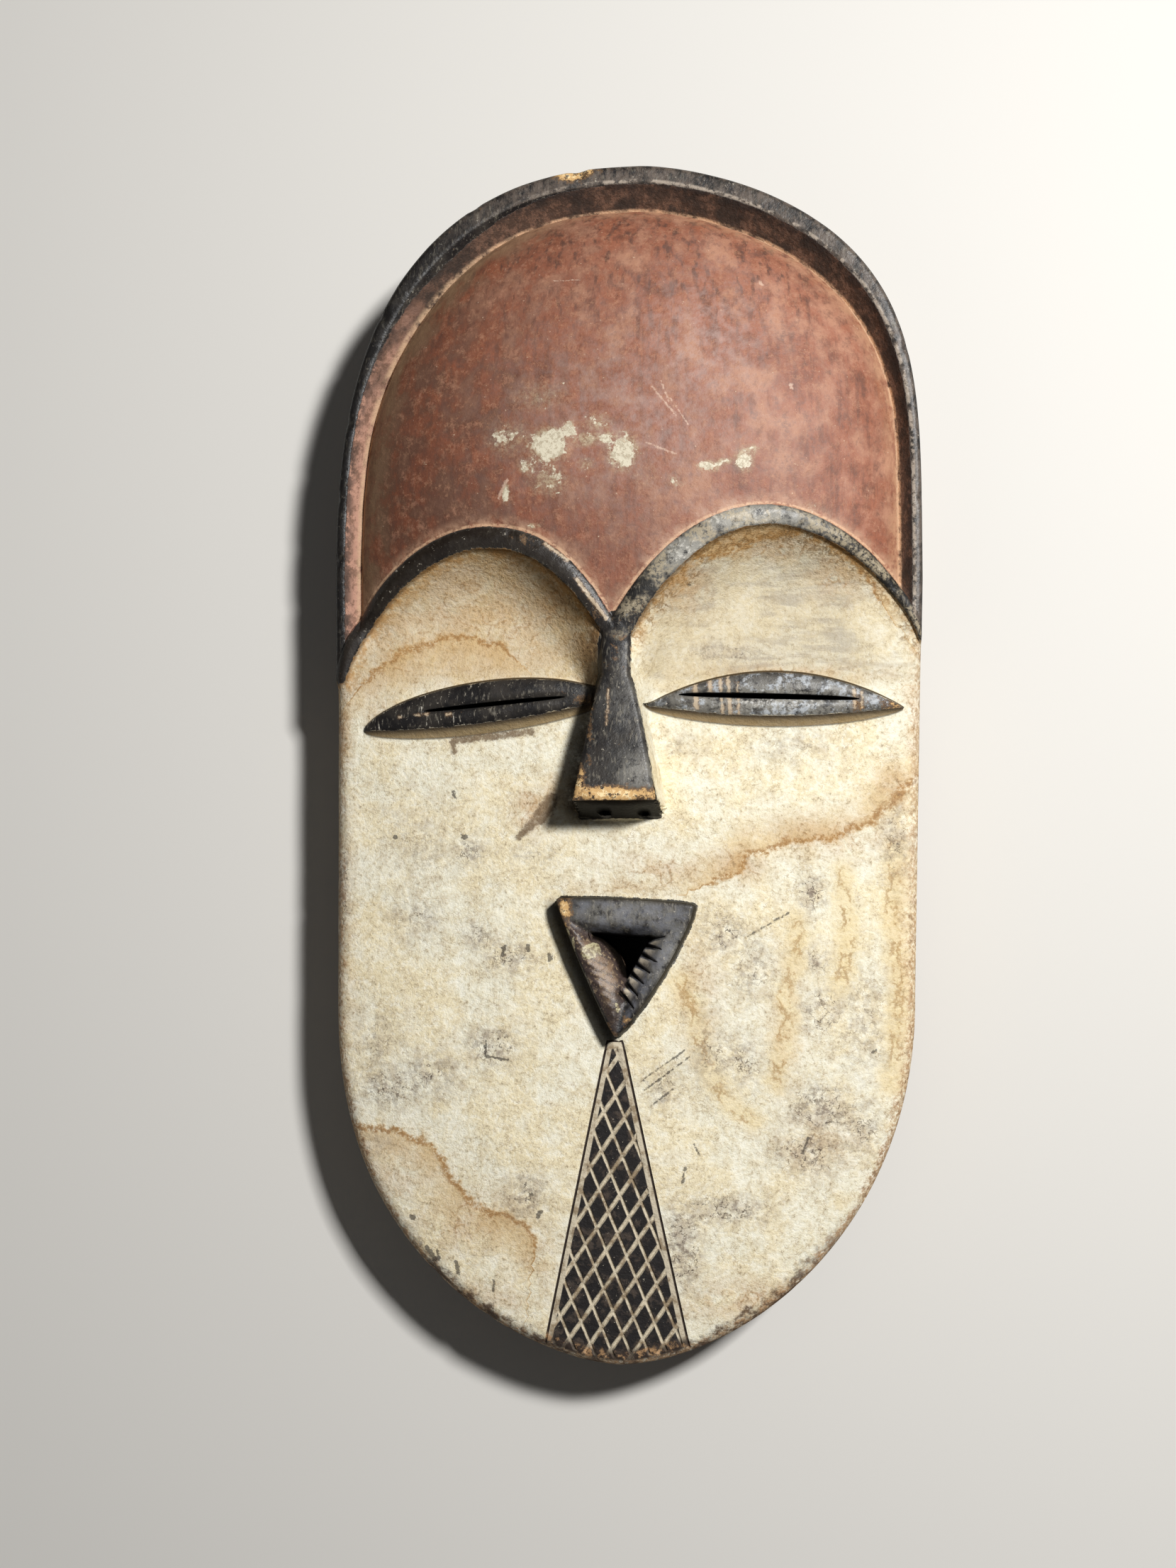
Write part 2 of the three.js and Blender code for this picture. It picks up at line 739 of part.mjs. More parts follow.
// Concave lid swept along the brow band, from its lower edge out to the socket floor.
// At both ends the section turns about the end of the band until it points down.
function lidStations(line) {
  const last = line.length - 1;
  const stations = line.map((point) => ({ ...point, dx: -point.upX, dy: -point.upY }));
  const turned = (station, share) => {
    const aim = new THREE.Vector2(mix(station.dx, 0, share), mix(station.dy, -1, share)).normalize();
    return { ...station, dx: aim.x, dy: aim.y };
  };
  const turns = Array.from({ length: LID_TURNS }, (unused, step) => (step + 1) / LID_TURNS);
  const before = turns.map((share) => turned(stations[0], share)).reverse();
  const after = turns.map((share) => turned(stations[last], share));
  return [...before, ...stations, ...after];
}

function lidSweep(line) {
  const rings = lidStations(line).map((station) => {
    const reach = lidReach(station.share);
    const place = (away, sink) => {
      const x = station.x + station.dx * away;
      const y = station.y + station.dy * away;
      return [x, y, lidHeight(x, y) - sink];
    };
    const low = place(station.half + reach * 0.97, 1);
    return [
      [station.x, station.y, BROW_ROOT_Z + 1],
      place(0, 0),
      ...LID_SHARES.map((share) => place(station.half + reach * share, 0)),
      low,
      [low[0], low[1], BROW_ROOT_Z + 1],
    ];
  });
  return ringLoft(rings);
}

// Nose wedge from the bridge down to a slanted underside
function noseWedge() {
  const rings = [];
  for (let step = 0; step <= NOSE_STEPS; step += 1) {
    const y = mix(NOSE_TOP_Y, NOSE_TIP_Y, step / NOSE_STEPS);
    const front = noseZ(y);
    const half = noseHalf(y);
    const spread = smooth((NOSE_FLARE_Y + 14 - y) / 30) * (1 - 0.75 * smooth((2 - y) / 18));
    const foot = half + NOSE_DRAFT * spread;
    const undercut = step === NOSE_STEPS ? NOSE_UNDERCUT : 0;
    const at = (x, z) => [NOSE_X + x, y - undercut * ((front - z) / (front - NOSE_ROOT_Z)), z];
    rings.push([
      at(-foot, NOSE_ROOT_Z),
      at(-half, front - 1.1),
      at(-half + 0.9, front - 0.2),
      at(0, front + 0.5),
      at(half - 0.9, front - 0.2),
      at(half, front - 1.1),
      at(foot, NOSE_ROOT_Z),
    ]);
  }
  return ringLoft(rings);
}

function nostril(x) {
  const ball = new THREE.SphereGeometry(NOSTRIL_RADIUS, 8, 6);
  ball.scale(1.15, 1.3, 0.8);
  ball.translate(x, NOSTRIL_Y, NOSTRIL_Z);
  return solidFrom(ball);
}

// Almond eye
function eyeEdges(eye, share) {
  const x = mix(eye.outer[0], eye.inner[0], share);
  const chordY = mix(eye.outer[1], eye.inner[1], share);
  const bow = 4 * share * (1 - share);
  return {
    x,
    top: chordY + eye.topRise * Math.pow(bow, eye.topPower),
    bottom: chordY - eye.bottomDrop * Math.pow(bow, eye.bottomPower),
    bow,
  };
}

function eyeAlmond(eye) {
  const rings = [];
  for (let step = 0; step <= EYE_STEPS; step += 1) {
    const share = (1 - Math.cos((Math.PI * step) / EYE_STEPS)) / 2;
    const { x, top, bottom, bow } = eyeEdges(eye, share);
    const soft = Math.pow(bow, 0.4);
    const middle = (top + bottom) / 2;
    const front = (y) => boardZ(x, middle) + 0.35 * (boardZ(x, y) - boardZ(x, middle)) + EYE_PROUD * soft;
    const root = boardZ(x, middle) - EYE_ROOT;
    const below = EYE_FOOT_BELOW * soft * 1.6;
    const above = EYE_FOOT_ABOVE * soft;
    rings.push([
      [x, bottom - below - 0.05, root],
      [x, bottom - 0.04, front(bottom) - 0.4 * soft],
      [x, mix(bottom, top, 0.12) - 0.02, front(bottom) + 0.1],
      [x, middle, front(middle) + EYE_CROWN * soft],
      [x, mix(bottom, top, 0.88) + 0.02, front(top) + 0.1],
      [x, top + 0.04, front(top) - 0.4 * soft],
      [x, top + above + 0.05, root],
    ]);
  }
  return ringLoft(rings);
}

// A flat-sided cutter standing along Z on a closed outline.
function standingCutter(points, backZ, frontZ) {
  const shape = new THREE.Shape(points.map(([x, y]) => new THREE.Vector2(x, y)));
  const depth = frontZ - backZ;
  const geometry = new THREE.ExtrudeGeometry(shape, { depth, bevelEnabled: false, steps: 1 });
  geometry.translate(0, 0, backZ);
  return solidFrom(geometry);
}

function eyeSlit(eye) {
  const [x0, y0] = eye.slitOuter;
  const [x1, y1] = eye.slitInner;
  const length = Math.hypot(x1 - x0, y1 - y0);
  const acrossX = -(y1 - y0) / length;
  const acrossY = (x1 - x0) / length;
  const side = (sign) => Array.from({ length: SLIT_STEPS + 1 }, (unused, step) => {
    const share = step / SLIT_STEPS;
    const half = (eye.slitWidth / 2) * (0.12 + 0.88 * Math.pow(4 * share * (1 - share), 0.45)) * sign;
    return [mix(x0, x1, share) + acrossX * half, mix(y0, y1, share) + acrossY * half];
  });
  return standingCutter([...side(1), ...side(-1).reverse()], SLIT_BACK_Z, SLIT_FRONT_Z);
}

// Triangle with rounded corners, the same number of points for any size.
function roundedTriangle(corners, radii, z) {
  const points = [];
  corners.forEach((corner, index) => {
    const before = corners[(index + 2) % 3];
    const after = corners[(index + 1) % 3];
    const toBefore = new THREE.Vector2(before[0] - corner[0], before[1] - corner[1]).normalize();
    const toAfter = new THREE.Vector2(after[0] - corner[0], after[1] - corner[1]).normalize();
    const here = new THREE.Vector2(corner[0], corner[1]);
    const start = here.clone().addScaledVector(toBefore, radii[index]);
    const end = here.clone().addScaledVector(toAfter, radii[index]);
    const curve = new THREE.QuadraticBezierCurve(start, here, end);
    curve.getPoints(4).forEach((point) => points.push([point.x, point.y, z]));
  });
  return points;
}

// Corners moved outward by a distance from every edge.
function grownTriangle(corners, grow) {
  const edges = corners.map((corner, index) => {
    const next = corners[(index + 1) % 3];
    const along = new THREE.Vector2(next[0] - corner[0], next[1] - corner[1]).normalize();
    return { x: corner[0] - along.y * grow, y: corner[1] + along.x * grow, dx: along.x, dy: along.y };
  });
  return corners.map((corner, index) => {
    const a = edges[(index + 2) % 3];
    const b = edges[index];
    const cross = a.dx * b.dy - a.dy * b.dx;
    const t = ((b.x - a.x) * b.dy - (b.y - a.y) * b.dx) / cross;
    return [a.x + a.dx * t, a.y + a.dy * t];
  });
}

function mouthRing() {
  const grownRadii = MOUTH_CORNER_RADIUS.map((radius) => radius * 1.5);
  const rings = [
    roundedTriangle(grownTriangle(MOUTH_FRONT, MOUTH_DRAFT), grownRadii, MOUTH_ROOT_Z),
    roundedTriangle(MOUTH_FRONT, MOUTH_CORNER_RADIUS, MOUTH_FRONT_Z - MOUTH_EDGE),
    roundedTriangle(grownTriangle(MOUTH_FRONT, -MOUTH_EDGE), MOUTH_CORNER_RADIUS, MOUTH_FRONT_Z),
  ];
  return ringLoft(rings);
}

function mouthFunnel() {
  const radii = [1.5, 1.5, 2];
  const spread = (MOUTH_FRONT_Z + 2 - MOUTH_THROAT_Z) / (MOUTH_FRONT_Z - MOUTH_THROAT_Z);
  const beyond = MOUTH_OPENING.map((corner, index) => [
    mix(MOUTH_THROAT[index][0], corner[0], spread),
    mix(MOUTH_THROAT[index][1], corner[1], spread),
  ]);
  const rings = [
    roundedTriangle(MOUTH_THROAT, [0.8, 0.8, 1], MOUTH_HOLE_BACK_Z),
    roundedTriangle(MOUTH_THROAT, [0.8, 0.8, 1], MOUTH_THROAT_Z),
    roundedTriangle(beyond, radii, MOUTH_FRONT_Z + 2),
  ];
  return ringLoft(rings);
}

// V-shaped cutter along a polyline; each station gives x, y, z and the half width and depth there.
function vCutter(stations) {
  const rings = stations.map((station, index) => {
    const before = stations[Math.max(0, index - 1)];
    const after = stations[Math.min(stations.length - 1, index + 1)];
    const length = Math.hypot(after.x - before.x, after.y - before.y);
    const acrossX = -(after.y - before.y) / length;
    const acrossY = (after.x - before.x) / length;
    const half = station.half * (1 + GROOVE_LIFT / station.depth);
    return [
      [station.x + acrossX * half, station.y + acrossY * half, station.z + GROOVE_LIFT],
      [station.x, station.y, station.z - station.depth],
      [station.x - acrossX * half, station.y - acrossY * half, station.z + GROOVE_LIFT],
    ];
  });
  return ringLoft(rings);
}

function toothNotches() {
  const notches = [];
  for (let index = 0; index < TOOTH_NOTCHES; index += 1) {
    const share = 0.04 + (TOOTH_SHARE * (index + 0.5)) / TOOTH_NOTCHES;
    const half = TOOTH_NOTCH_WIDTH / 2;
    const place = (corners, along, z, dx) => ({
      x: mix(corners[1][0], corners[2][0], along) + dx,
      y: mix(corners[1][1], corners[2][1], along),
      z,
      half,
      depth: TOOTH_NOTCH_DEPTH,
    });
    notches.push(vCutter([
      place(MOUTH_THROAT, share, MOUTH_THROAT_Z + 0.2, -0.3),
      place(MOUTH_OPENING, share + 0.05, MOUTH_FRONT_Z + 0.4, 0.4),
    ]));
  }
  return notches;
}

// Engraved lines
function panelHalf(y) {
  return PANEL_TOP_HALF + PANEL_SPREAD * (PANEL_TOP_Y - y);
}

function grooveAlong(xAt, fromY, toY, width) {
  const inset = (y) => {
    const frame = spineFrame(xAt(y), y, FACE_SPINE_LOW_Y, CROWN_Y);
    return frame.reach - frame.away;
  };
  let flatY = toY;
  while (inset(flatY) < EDGE_RADIUS) {
    flatY += 0.25;
  }
  const steps = Math.max(1, Math.ceil((fromY - flatY) / GROOVE_SEGMENT));
  const places = Array.from({ length: steps + 1 }, (unused, step) => mix(fromY, flatY, step / steps));
  if (flatY > toY) {
    places.push(mix(flatY, toY, 0.6), toY);
  }
  return vCutter(places.map((y) => {
    const x = xAt(y);
    return { x, y, z: faceHeight(x, y), half: width / 2, depth: GROOVE_DEPTH };
  }));
}

function latticeGrooves() {
  const grooves = [];
  const families = [
    { slope: FALLING_SLOPE, spacing: FALLING_SPACING },
    { slope: RISING_SLOPE, spacing: RISING_SPACING },
  ];
  families.forEach(({ slope, spacing }) => {
    for (let index = -LATTICE_REACH; index <= LATTICE_REACH; index += 1) {
      const xAt = (y) => LATTICE_X + index * spacing + slope * (LATTICE_Y - y);
      const within = (y) => Math.abs(xAt(y) - PANEL_X) < panelHalf(y) - PANEL_BORDER;
      let top = null;
      let bottom = null;
      for (let y = PANEL_TOP_Y - 4; y > PANEL_BOTTOM_Y; y -= 0.5) {
        if (within(y) && insideOutline(xAt(y), y - PANEL_CHIN_GAP)) {
          top = top === null ? y : top;
          bottom = y;
        }
      }
      if (top !== null && top - bottom > 5) {
        grooves.push(grooveAlong(xAt, top, bottom, GROOVE_WIDTH));
      }
    }
  });
  [-1, 1].forEach((sign) => {
    const xAt = (y) => PANEL_X + sign * panelHalf(y);
    let bottom = PANEL_BOTTOM_Y;
    while (!insideOutline(xAt(bottom), bottom - PANEL_CHIN_GAP)) {
      bottom += 0.25;
    }
    grooves.push(grooveAlong(xAt, PANEL_TOP_Y, bottom, BORDER_GROOVE_WIDTH));
  });
  return grooves;
}

// Hollow behind the face
function hollowTopZ(x, y) {
  const across = x / HOLLOW_DOME_HALF_WIDTH;
  const along = (y - DOME_CENTRE_Y) / HOLLOW_DOME_HALF_HEIGHT;
  const dome = Math.max(0, 1 - across * across - along * along);
  const side = (x / FACE_HALF_WIDTH) * (x / FACE_HALF_WIDTH);
  return HOLLOW_FACE_Z + HOLLOW_DOME_RISE * smooth(dome) - HOLLOW_SIDE_FALL * side;
}

function backHollow() {
  const outline = evenOutline(HOLLOW_POINTS);
  const rings = HOLLOW_WALL.map(({ inset, z }) => outline.map((point) => [
    point.x + point.inX * inset, point.y + point.inY * inset, z,
  ]));
  const shoulder = outline.map((point) => [
    point.x + point.inX * HOLLOW_SHOULDER_INSET, point.y + point.inY * HOLLOW_SHOULDER_INSET,
  ]);
  rings.push(shoulder.map(([x, y]) => [x, y, hollowTopZ(x, y) - 1]));
  HOLLOW_SHARES.forEach((share) => {
    rings.push(shoulder.map(([x, y]) => {
      const px = x * share;
      const py = HOLLOW_CENTRE_Y + (y - HOLLOW_CENTRE_Y) * share;
      return [px, py, hollowTopZ(px, py)];
    }));
  });
  return ringLoft(rings);
}

function wallPrism() {
  const outline = evenOutline(OUTLINE_POINTS);
  return ringLoft(WALL_STEPS.map(({ inset, z }) => outline.map((point) => [
    point.x + point.inX * inset, point.y + point.inY * inset, z,
  ])));
}

// Assembly: boards and carving joined, trimmed to the outline, then hollowed and pierced
let body = faceBoard
  .add(capBoard.intersect(foreheadRegion()))
  .add(browBand(LEFT_LINE))
  .add(browBand(RIGHT_LINE))
  .add(lidSweep(LEFT_LINE))
  .add(lidSweep(RIGHT_LINE))
  .add(noseWedge())
  .add(eyeAlmond(LEFT_EYE))
  .add(eyeAlmond(RIGHT_EYE))
  .add(mouthRing())
  .intersect(wallPrism())
  .subtract(backHollow())
  .subtract(mouthFunnel())
  .subtract(eyeSlit(LEFT_EYE))
  .subtract(eyeSlit(RIGHT_EYE));
NOSTRIL_X.forEach((x) => {
  body = body.subtract(nostril(x));
});
toothNotches().forEach((notch) => {
  body = body.subtract(notch);
});
latticeGrooves().forEach((groove) => {
  body = body.subtract(groove);
});

function meshFrom(solid, name, material) {
  const mesh = solid.getMesh();
  const positions = [];
  for (let at = 0; at < mesh.vertProperties.length; at += mesh.numProp) {
    positions.push(mesh.vertProperties[at], mesh.vertProperties[at + 1], mesh.vertProperties[at + 2]);
  }
  const geometry = geometryFrom(positions, Array.from(mesh.triVerts));
  geometry.computeBoundingBox();
  const { min, max } = geometry.boundingBox;
  geometry.translate(-(min.x + max.x) / 2, -(min.y + max.y) / 2, -min.z);
  geometry.computeVertexNormals();
  const result = new THREE.Mesh(geometry, material);
  result.name = name;
  return result;
}

const paintedWood = new THREE.MeshStandardMaterial({ color: 0xc9b48a, roughness: 0.72, metalness: 0 });
paintedWood.name = "painted_wood";

const group = new THREE.Group();
group.name = "vuvi_mask";
group.add(meshFrom(body, "mask", paintedWood));

export default group;
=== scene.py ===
# %% [markdown]
# # A carved and painted face mask
# The part is a wooden mask, 410 mm long, that lies on its flat back rim with the face up. The packed
# CAD model is the frame: it says how big the mask is and where it lies. This lesson carves the same
# form again as one fine mesh, cuts the small carving into it, and paints it with worn red earth, white
# clay and black, all by rules and none by pictures.

# %% Load the frame
import math

import bpy
import numpy as np
from mathutils import Matrix, Vector, kdtree
from mathutils.geometry import delaunay_2d_cdt


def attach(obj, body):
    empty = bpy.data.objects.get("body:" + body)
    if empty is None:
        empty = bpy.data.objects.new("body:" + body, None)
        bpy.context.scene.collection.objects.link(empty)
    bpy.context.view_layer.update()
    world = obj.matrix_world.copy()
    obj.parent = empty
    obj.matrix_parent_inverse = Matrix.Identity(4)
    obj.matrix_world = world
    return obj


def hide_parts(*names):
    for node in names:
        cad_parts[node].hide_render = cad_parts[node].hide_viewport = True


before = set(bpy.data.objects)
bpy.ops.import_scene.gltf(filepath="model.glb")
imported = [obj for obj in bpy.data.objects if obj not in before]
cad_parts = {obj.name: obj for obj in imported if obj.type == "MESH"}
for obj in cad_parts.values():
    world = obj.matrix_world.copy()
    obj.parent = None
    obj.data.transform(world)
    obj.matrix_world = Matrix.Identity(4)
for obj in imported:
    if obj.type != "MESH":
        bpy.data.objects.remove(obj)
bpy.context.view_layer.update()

# %% [markdown]
# ## Camera
# The mask lies down, so the camera looks down on it, a little from the chin and a little from the
# right, as it would look at a mask on a wall. Its place is given by a target, a distance and two angles.

# %% Camera
MM = 0.001
CAMERA_TARGET = Vector((-12.6, -9.1, 40.0)) * MM
CAMERA_DISTANCE = 700 * MM
CAMERA_YAW = math.radians(6)
CAMERA_PITCH = math.radians(4)
CAMERA_LENS = 47


def make_camera():
    back = Vector((
        math.sin(CAMERA_YAW) * math.cos(CAMERA_PITCH),
        -math.sin(CAMERA_PITCH),
        math.cos(CAMERA_YAW) * math.cos(CAMERA_PITCH),
    ))
    right = Vector((0, 1, 0)).cross(back).normalized()
    up = back.cross(right)
    camera = bpy.data.objects.new("camera", bpy.data.cameras.new("camera"))
    camera.data.lens = CAMERA_LENS
    camera.matrix_world = Matrix.Translation(CAMERA_TARGET + back * CAMERA_DISTANCE) @ Matrix(
        (right, up, back)).transposed().to_4x4()
    bpy.context.scene.collection.objects.link(camera)
    bpy.context.scene.camera = camera
    return camera


camera = make_camera()
print("camera at, mm:", [round(1000 * value) for value in camera.location])

# %% [markdown]
# ## The outline
# The board is a long arch above and a blunt arch below, and no side matches the other, as on any
# hand-carved work. Each corner is a squared-off quarter ellipse. All sizes are millimetres, in the
# carver's own coordinates, which a last shift centres on the frame.

# %% Small helpers
def smooth(value):
    share = np.clip(value, 0, 1)
    return share * share * (3 - 2 * share)


def mix(low, high, share):
    return low + (high - low) * share


def quarter(share, full, blunt):
    """A quarter of a squared-off ellipse: 1 at the start of the run and 0 at its end."""
    return np.maximum(0, 1 - np.clip(share, 0, 1) ** full) ** (1 / blunt)


def soft_max(a, b, radius):
    """The higher of two surfaces with a fillet where they meet."""
    near = np.maximum(radius - np.abs(a - b), 0) / radius
    return np.maximum(a, b) + near * near * radius / 4


def soft_min(a, b, radius):
    return -soft_max(-a, -b, radius)


NOISE_CELLS = 64


def unevenness(x, y, size, seed):
    """Smooth noise from -1 to 1 with a bump about every size millimetres."""
    table = np.random.default_rng(seed).uniform(-1, 1, (NOISE_CELLS, NOISE_CELLS))
    column, row = np.floor(x / size).astype(int), np.floor(y / size).astype(int)
    across, along = smooth(x / size - column), smooth(y / size - row)
    corner = lambda right, up: table[(column + right) % NOISE_CELLS, (row + up) % NOISE_CELLS]
    low = mix(corner(0, 0), corner(1, 0), across)
    high = mix(corner(0, 1), corner(1, 1), across)
    return mix(low, high, along)


# %% Outline
CROWN_X, CROWN_Y = 6, 205.1
CHIN_X, CHIN_Y = -2, -204.9
CROWN_START_Y = 60
CHIN_START_Y = -80
EDGES = {
    -1: {"top": -100.8, "bottom": -99.8, "crown": (2.6, 2.46), "chin": (2.42, 1.66)},
    1: {"top": 102, "bottom": 98.2, "crown": (4.25, 1.58), "chin": (2.12, 1.74)},
}
OUTLINE_STEP = 1.55
OUTLINE_ANGLES = 2401
HALVINGS = 40
SHIFT_X = -(EDGES[-1]["top"] + EDGES[1]["top"]) / 2
SHIFT_Y = -(CROWN_Y + CHIN_Y) / 2


def edge_x(side, y):
    """Where the outline crosses height y, on the left (-1) or right (1)."""
    edge = EDGES[side]
    up = (y - CROWN_START_Y) / (CROWN_Y - CROWN_START_Y)
    down = (CHIN_START_Y - y) / (CHIN_START_Y - CHIN_Y)
    crown = CROWN_X + (edge["top"] - CROWN_X) * quarter(up, *edge["crown"])
    chin = CHIN_X + (edge["bottom"] - CHIN_X) * quarter(down, *edge["chin"])
    straight = mix(edge["bottom"], edge["top"], (y - CHIN_START_Y) / (CROWN_START_Y - CHIN_START_Y))
    return np.where(up > 0, crown, np.where(down > 0, chin, straight))


def reach_to_edge(x, y, dx, dy):
    """Distance from points inside the outline to the outline, along a direction."""
    near = np.zeros(np.broadcast(x, y, dx, dy).shape)
    far = near + 2 * CROWN_Y
    for _ in range(HALVINGS):
        middle = (near + far) / 2
        px, py = x + dx * middle, y + dy * middle
        inside = (py < CROWN_Y) & (py > CHIN_Y) & (px < edge_x(1, py)) & (px > edge_x(-1, py))
        near, far = np.where(inside, middle, near), np.where(inside, far, middle)
    return near


def evenly(path, step):
    """Points along a path at equal steps of about the given length."""
    path = np.asarray(path, float)
    lengths = np.concatenate([[0], np.cumsum(np.hypot(*np.diff(path, axis=0).T))])
    count = max(2, int(round(lengths[-1] / step)) + 1)
    wanted = np.linspace(0, lengths[-1], count)
    return np.stack([np.interp(wanted, lengths, path[:, axis]) for axis in (0, 1)], axis=1)


def outline_points(step):
    angle = np.linspace(0, 2 * math.pi, OUTLINE_ANGLES)
    reach = reach_to_edge(0, 0, np.cos(angle), np.sin(angle))
    return evenly(np.stack([np.cos(angle) * reach, np.sin(angle) * reach], axis=1), step)[:-1]


OUTLINE = outline_points(OUTLINE_STEP)
print("outline points:", len(OUTLINE))

# %% [markdown]
# ## Distances
# Every carved edge and every painted edge on the mask is a line at some distance from a drawn path.
# So one helper finds the nearest place on a path, and another tells inside from outside.

# %% Distances to paths
FAR_OUT = 1e9


def nearest_on(path, x, y):
    """Distance to a path, the place along it in points, and +1 or -1 for its left or right side."""
    best = np.full(x.shape, FAR_OUT)
    place = np.zeros(x.shape)
    side = np.ones(x.shape)
    for at in range(len(path) - 1):
        (ax, ay), (bx, by) = path[at], path[at + 1]
        dx, dy = bx - ax, by - ay
        share = np.clip(((x - ax) * dx + (y - ay) * dy) / (dx * dx + dy * dy), 0, 1)
        px, py = x - ax - dx * share, y - ay - dy * share
        distance = np.hypot(px, py)
        closer = distance < best
        best = np.where(closer, distance, best)
        place = np.where(closer, at + share, place)
        side = np.where(closer, np.where(dx * py - dy * px > 0, 1, -1), side)
    return best, place, side


def closed_path(loop):
    return np.vstack([loop, loop[:1]])


def anticlockwise(loop):
    (ax, ay), (bx, by) = loop.T, np.roll(loop, -1, axis=0).T
    return loop if np.sum(ax * by - bx * ay) > 0 else loop[::-1]


def is_inside(loop, x, y):
    """Even-odd test against a closed loop of points."""
    inside = np.zeros(x.shape, bool)
    for at in range(len(loop)):
        (ax, ay), (bx, by) = loop[at - 1], loop[at]
        if ay != by:
            inside ^= ((ay > y) != (by > y)) & (x < (bx - ax) * (y - ay) / (by - ay) + ax)
    return inside


def loop_distance(loop, x, y):
    """Signed distance to a closed loop, negative inside."""
    distance, _, _ = nearest_on(closed_path(loop), x, y)
    return np.where(is_inside(loop, x, y), -distance, distance)


def spine_frame(x, y, low_y, high_y):
    """How far a point is from a straight spine, and the outline's reach from the spine through it."""
    spine_y = np.clip(y, low_y, high_y)
    away = np.hypot(x, y - spine_y)
    reach = np.where(x < 0, -edge_x(-1, y), edge_x(1, y))
    fan = (y != spine_y) & (away > 1e-6)
    dx, dy = x[fan] / away[fan], (y[fan] - spine_y[fan]) / away[fan]
    reach[fan] = reach_to_edge(0, spine_y[fan], dx, dy)
    return away, reach


length = np.hypot(*np.diff(closed_path(OUTLINE), axis=0).T).sum()
print("round the outline, mm:", round(length))

# %% [markdown]
# ## Forehead
# A black rim stands round the forehead, falls inward to a valley, and out of the valley swells a red
# dome. The height at a point follows from how far it lies between the middle and the outline.

# %% Forehead
CREST_END_Z, CREST_TOP_Z = 39, 45.5
CREST_START_Y, CREST_RUN = 30, 172
RIM_DROP_END, RIM_DROP_TOP = 3.5, 8
CREST_WIDTH_SIDE, CREST_WIDTH_TOP = 3.4, 6.4
SLOPE_WIDTH_LEFT, SLOPE_WIDTH_RIGHT, SLOPE_WIDTH_TOP = 5.4, 4.4, 7.6
RIM_WIDEN_START_Y, RIM_WIDEN_RUN = 112, 80
DOME_CENTRE_Y, DOME_TOP_Z = 108, 65
DOME_BROW_FALL, DOME_BROW_RUN = 5.5, 60
DOME_FULL, DOME_ROUND = 2.2, 0.62
CREST_ROUND, CREST_ROUND_DROP, ROUND_SHARE = 1.8, 1.5, 0.98
SLOPE_POWER, SLOPE_FILLET, SLOPE_CLEAR = 0.85, 0.5, 4


def rim_widths(left, edge_y):
    widen = smooth((edge_y - RIM_WIDEN_START_Y) / RIM_WIDEN_RUN)
    crest = mix(CREST_WIDTH_SIDE, CREST_WIDTH_TOP, widen)
    slope = mix(np.where(left, SLOPE_WIDTH_LEFT, SLOPE_WIDTH_RIGHT), SLOPE_WIDTH_TOP, widen)
    return crest, slope


def crest_z(y):
    return mix(CREST_END_Z, CREST_TOP_Z, smooth((y - CREST_START_Y) / CREST_RUN))


def valley_z(y):
    return crest_z(y) - mix(RIM_DROP_END, RIM_DROP_TOP, smooth((y - CREST_START_Y) / CREST_RUN))


def forehead(x, y):
    """Height of the forehead, and how far the point lies inside the crest line and the valley line."""
    away, reach = spine_frame(x, y, CHIN_Y, DOME_CENTRE_Y)
    spine_y = np.minimum(DOME_CENTRE_Y, y)
    edge_y = spine_y + (y - spine_y) * np.where(away > 1e-6, reach / np.maximum(away, 1e-6), 0)
    inset = reach - away
    crest, slope = rim_widths(x < 0, edge_y)
    rounding = np.clip(1 - inset / CREST_ROUND, 0, 1)
    arc = np.sqrt(np.maximum(0, 1 - rounding ** 2 * ROUND_SHARE))
    top = crest_z(edge_y) - CREST_ROUND_DROP * (1 - arc)
    share = np.clip((inset - crest) / slope, 0, 1)
    fall = mix(crest_z(edge_y), valley_z(edge_y), share ** SLOPE_POWER)
    rim = soft_min(top, fall + np.where(inset < crest, SLOPE_CLEAR, 0), SLOPE_FILLET)
    drop = np.maximum(0, DOME_CENTRE_Y - y) / DOME_BROW_RUN
    peak = DOME_TOP_Z - DOME_BROW_FALL * drop * drop
    rho = away / np.maximum(reach - crest - slope, 1)
    profile = np.maximum(0, 1 - np.clip(rho, 0, 1) ** DOME_FULL) ** DOME_ROUND
    dome = mix(valley_z(edge_y), peak, profile)
    height = np.where(inset < crest + slope, rim, dome)
    return height, inset - crest, inset - crest - slope


print("rim, mm:", CREST_END_Z, "to", CREST_TOP_Z, "high, dome:", DOME_TOP_Z)

# %% [markdown]
# ## Brow bands
# Two black bands arch over the eyes and meet at the bridge of the nose. Each is a centre line made of
# two arcs, with a width that changes along it. Near its outer end a band stops following the valley
# and runs level over the rim.

# %% Brow bands
LEFT_BROW = {
    "peak": (-47.5, 73.1), "start_x": -2.2, "end_x": -98.7, "inner": (46, 33.9, 2.5, 1),
    "outer": (51.5, 47, 1.75, 1.55), "half": (2.6, 3.6, 2),
}
RIGHT_BROW = {
    "peak": (52, 79.2), "start_x": 0.4, "end_x": 101.7, "inner": (56.5, 50, 2.06, 1.23),
    "outer": (53.3, 60, 1.66, 2.11), "half": (4.1, 3.2, 1.1),
}
BROW_STEP, BROW_SAMPLES = 2, 241
BROW_HEIGHT = 1.5
BROW_LEVEL_START, BROW_LEVEL_RUN = 0.8, 0.1
LID_REACH_MIDDLE, LID_REACH_END = 22, 9
LID_CURVE, LID_STEP = 2.3, 0.4
LID_NARROW_START = 0.55


